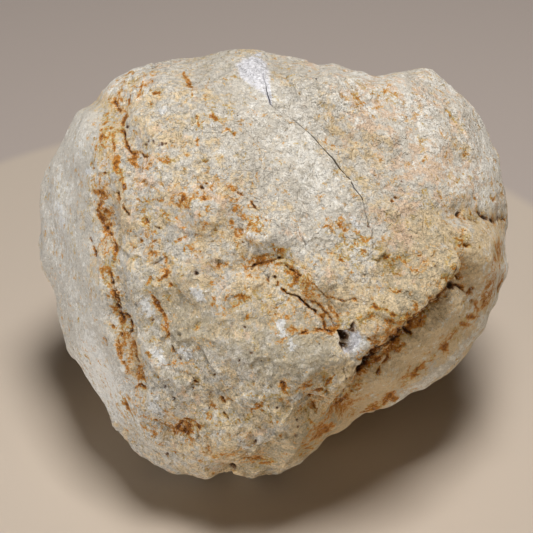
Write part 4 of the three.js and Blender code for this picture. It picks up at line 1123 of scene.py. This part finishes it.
def stained(graph, base):
    """The base colour under iron stain: pale blots, golden flecks and threads, and rusty cores, then
    darkened by painted shade in crevices, pits and hollows together with dark dirt.
    """
    hollow = graph.mark("hollow")
    stain = graph.level("stain", graph.times(hollow, STAIN_IN_HOLLOWS),
                        graph.times(threads(graph, *LONG_THREADS), LONG_STAIN),
                        graph.times(threads(graph, *SHORT_THREADS), SHORT_STAIN))
    light = graph.coat(STAIN_LIGHT, STAIN_OLIVE, graph.named("olive"), 0.45, 0.6)
    base = graph.coat(base, light, stain, 0.46, 0.72, 0.0, 0.85)
    base = graph.coat(base, STAIN_DEEP, stain, 0.72, 0.86, 0.0, 0.95)
    base = graph.coat(base, DARK_RUST_AND_SHADE, stain, 1.02, 1.2, 0.0, 0.8)
    # painted shade in crevices, pits, hollows and under the ledge, with dark dirt: deep rust, then near
    # black where darkest
    shade_and_dirt = graph.level("shade_and_dirt", graph.times(hollow, HOLLOW_SHADE_DARKNESS), graph.times(hairs(graph), HAIR_DARK))
    base = graph.coat(base, DARK_RUST_AND_SHADE, shade_and_dirt, 0.36, 0.62, 0.0, 0.8)
    return graph.coat(base, DIRT_AND_SHADE, shade_and_dirt, 0.62, 0.86, 0.0, 0.9)


def flecked(graph, base):
    """The colour with chalky crystals, pale and dark flecks, tiny dots and fresh breaks on it."""
    base = graph.coat(base, ICE, graph.level("crystal"), 0.35, 0.7, 0.0, 0.9)
    base = graph.coat(base, CHALK, graph.named("dust"), 0.6, 0.68, 0.0, 0.7)
    base = graph.coat(base, DARK_RUST_AND_SHADE, graph.named("dust"), 0.31, 0.39, 0.5, 0.0)
    base = graph.blend(graph.times(dots(graph), DOT_DARK), base, DIRT_AND_SHADE)
    # Breaks stay dark where painted shade and dirt lie on them.
    freshness = graph.level("fresh", graph.times(graph.mark("shade_and_dirt"), SHADE_AND_DIRT_ON_BREAKS))
    return graph.coat(base, FRESH, freshness, 0.2, 0.55)


def grained(graph, base):
    """The colour made lighter and darker by sugary grains and the shade in the hollows."""
    crystal, flake = graph.pick(CRYSTALS_SIZE), graph.pick(CHIPS_SIZE, graph.bent(*CHIPS_BEND))
    grain = graph.total(graph.around(graph.named("sand"), 0.6), graph.around(graph.named("grain"), 0.4),
                        graph.around(crystal, 0.1), graph.around(flake, 0.04),
                        graph.times(graph.around(crystal, 0.2), graph.mark("fresh")))
    grain = graph.times(grain, graph.maths("MULTIPLY_ADD", graph.mark("texture"), 0.9, 0.35))
    light = graph.total(1.0, grain, graph.times(graph.mark("hollow"), SHADE_IN_HOLLOWS))
    return graph.blend(1.0, base, graph.add("CombineColor", (light, light, light)), "MULTIPLY")


def bumps(graph):
    """Bumps too fine for the mesh: grains and the steps between tiny crystals. Heights are in mm."""
    layers = ((graph.named("bumps"), BUMP_HEIGHT), (graph.named("grit"), GRIT_BUMP),
              (flakes(graph, *BIG_FLAKES)[0], BIG_FLAKE_HEIGHT),
              (flakes(graph, *SMALL_FLAKES)[0], SMALL_FLAKE_HEIGHT))
    height = graph.total(*(graph.times(layer, tall) for layer, tall in layers))
    height = graph.times(height, graph.maths("MULTIPLY_ADD", graph.mark("texture"), 0.8, 0.5))
    return graph.add("Bump", {"Height": height, "Distance": MM, "Strength": 1.0})


def crust_material():
    graph = Graph("calcite_crust")
    sockets = graph.shader.inputs
    graph.wire(sockets["Base Color"], grained(graph, flecked(graph, stained(graph, clean_colour(graph)))))
    graph.wire(sockets["Normal"], bumps(graph))
    graph.wire(sockets["Roughness"], graph.span(graph.named("polish"), 0.3, 0.7, 0.65, 0.9))
    sockets["Specular IOR Level"].default_value = 0.35
    return graph.material


# --- floor, light and camera --------------------------------------------------------------------------
FLOOR_SIZE, FLOOR_DROP = 12, 0.0001              # metres
FLOOR_NEAR, FLOOR_FAR = colour(209, 195, 180), colour(190, 178, 171)
FLOOR_MIDDLE, FLOOR_REACH, FLOOR_FADE = (-0.015, 0.029, 0.0), 0.113, 0.003       # of its pale part, metres
FLOOR_FRONT = 0.3                                # how much slower it ends in front of its middle
# Lights: place from the stone's middle, width and height in metres, watts and tint.
LIGHTS = {
    "overhead": ((0.05, -0.07, 0.66), (0.22, 0.2), 4.2, (1.0, 0.98, 0.95)),
    "left": ((-1.35, -0.8, 0.03), (1.0, 0.14), 12.5, (0.94, 0.97, 1.0)),
    "front": ((1.1, -1.05, 0.02), (0.3, 0.1), 3.0, (1.0, 0.9, 0.68)),
}
WORLD_TINT, WORLD_STRENGTH = (1, 0.75, 0.45, 1), 0.015


def floor_material():
    graph = Graph("floor")
    sockets = graph.shader.inputs
    across = graph.add("SeparateXYZ", (graph.vector("SUBTRACT", graph.place, FLOOR_MIDDLE),))
    x, y = (across.node.outputs[axis] for axis in "XY")
    front = graph.times(graph.maths("MINIMUM", y, 0.0), FLOOR_FRONT)
    depth = graph.total(graph.maths("MAXIMUM", y, 0.0), front)
    away = graph.add("VectorMath", (graph.add("CombineXYZ", (x, depth)),), "Value", operation="LENGTH")
    graph.wire(sockets["Base Color"], graph.coat(FLOOR_NEAR, FLOOR_FAR, away, FLOOR_REACH - FLOOR_FADE,
                                                 FLOOR_REACH + FLOOR_FADE))
    sockets["Roughness"].default_value = 0.9
    sockets["Specular IOR Level"].default_value = 0.2
    return graph.material


def make_floor():
    bpy.ops.mesh.primitive_plane_add(size=FLOOR_SIZE, location=(0, 0, -FLOOR_DROP))
    floor = bpy.context.object
    floor.name = "floor"
    floor.data.materials.append(floor_material())


def make_lights():
    """Soft lights that shine at the stone's middle, and a faint warm glow all round."""
    for name, (place, size, power, tint) in LIGHTS.items():
        lamp = bpy.data.lights.new(name, "AREA")
        lamp.shape, lamp.energy, lamp.color = "RECTANGLE", power, tint
        lamp.size, lamp.size_y = size
        made = linked(name, lamp)
        made.location = Vector(MIDDLE) + Vector(place)
        made.rotation_euler = Vector(place).to_track_quat("Z", "Y").to_euler()
    world = bpy.data.worlds.new("studio")
    world.use_nodes = True
    glow = world.node_tree.nodes["Background"].inputs
    glow["Color"].default_value, glow["Strength"].default_value = WORLD_TINT, WORLD_STRENGTH
    bpy.context.scene.world = world
    bpy.context.scene.view_settings.view_transform = "Standard"


def make_camera():
    lens = bpy.data.cameras.new("camera")
    lens.lens, lens.sensor_width = LENS, SENSOR
    camera = linked("camera", lens)
    camera.location = CAMERA_PLACE
    camera.rotation_euler = Vector(OUT).to_track_quat("Z", "Y").to_euler()
    bpy.context.scene.camera = camera


def main():
    crust = crust_material()
    for name, half in make_halves().items():
        half.data.materials.clear()
        half.data.materials.append(crust)
        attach(half, "root")
        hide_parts(name)
    make_floor()
    make_lights()
    make_camera()


main()
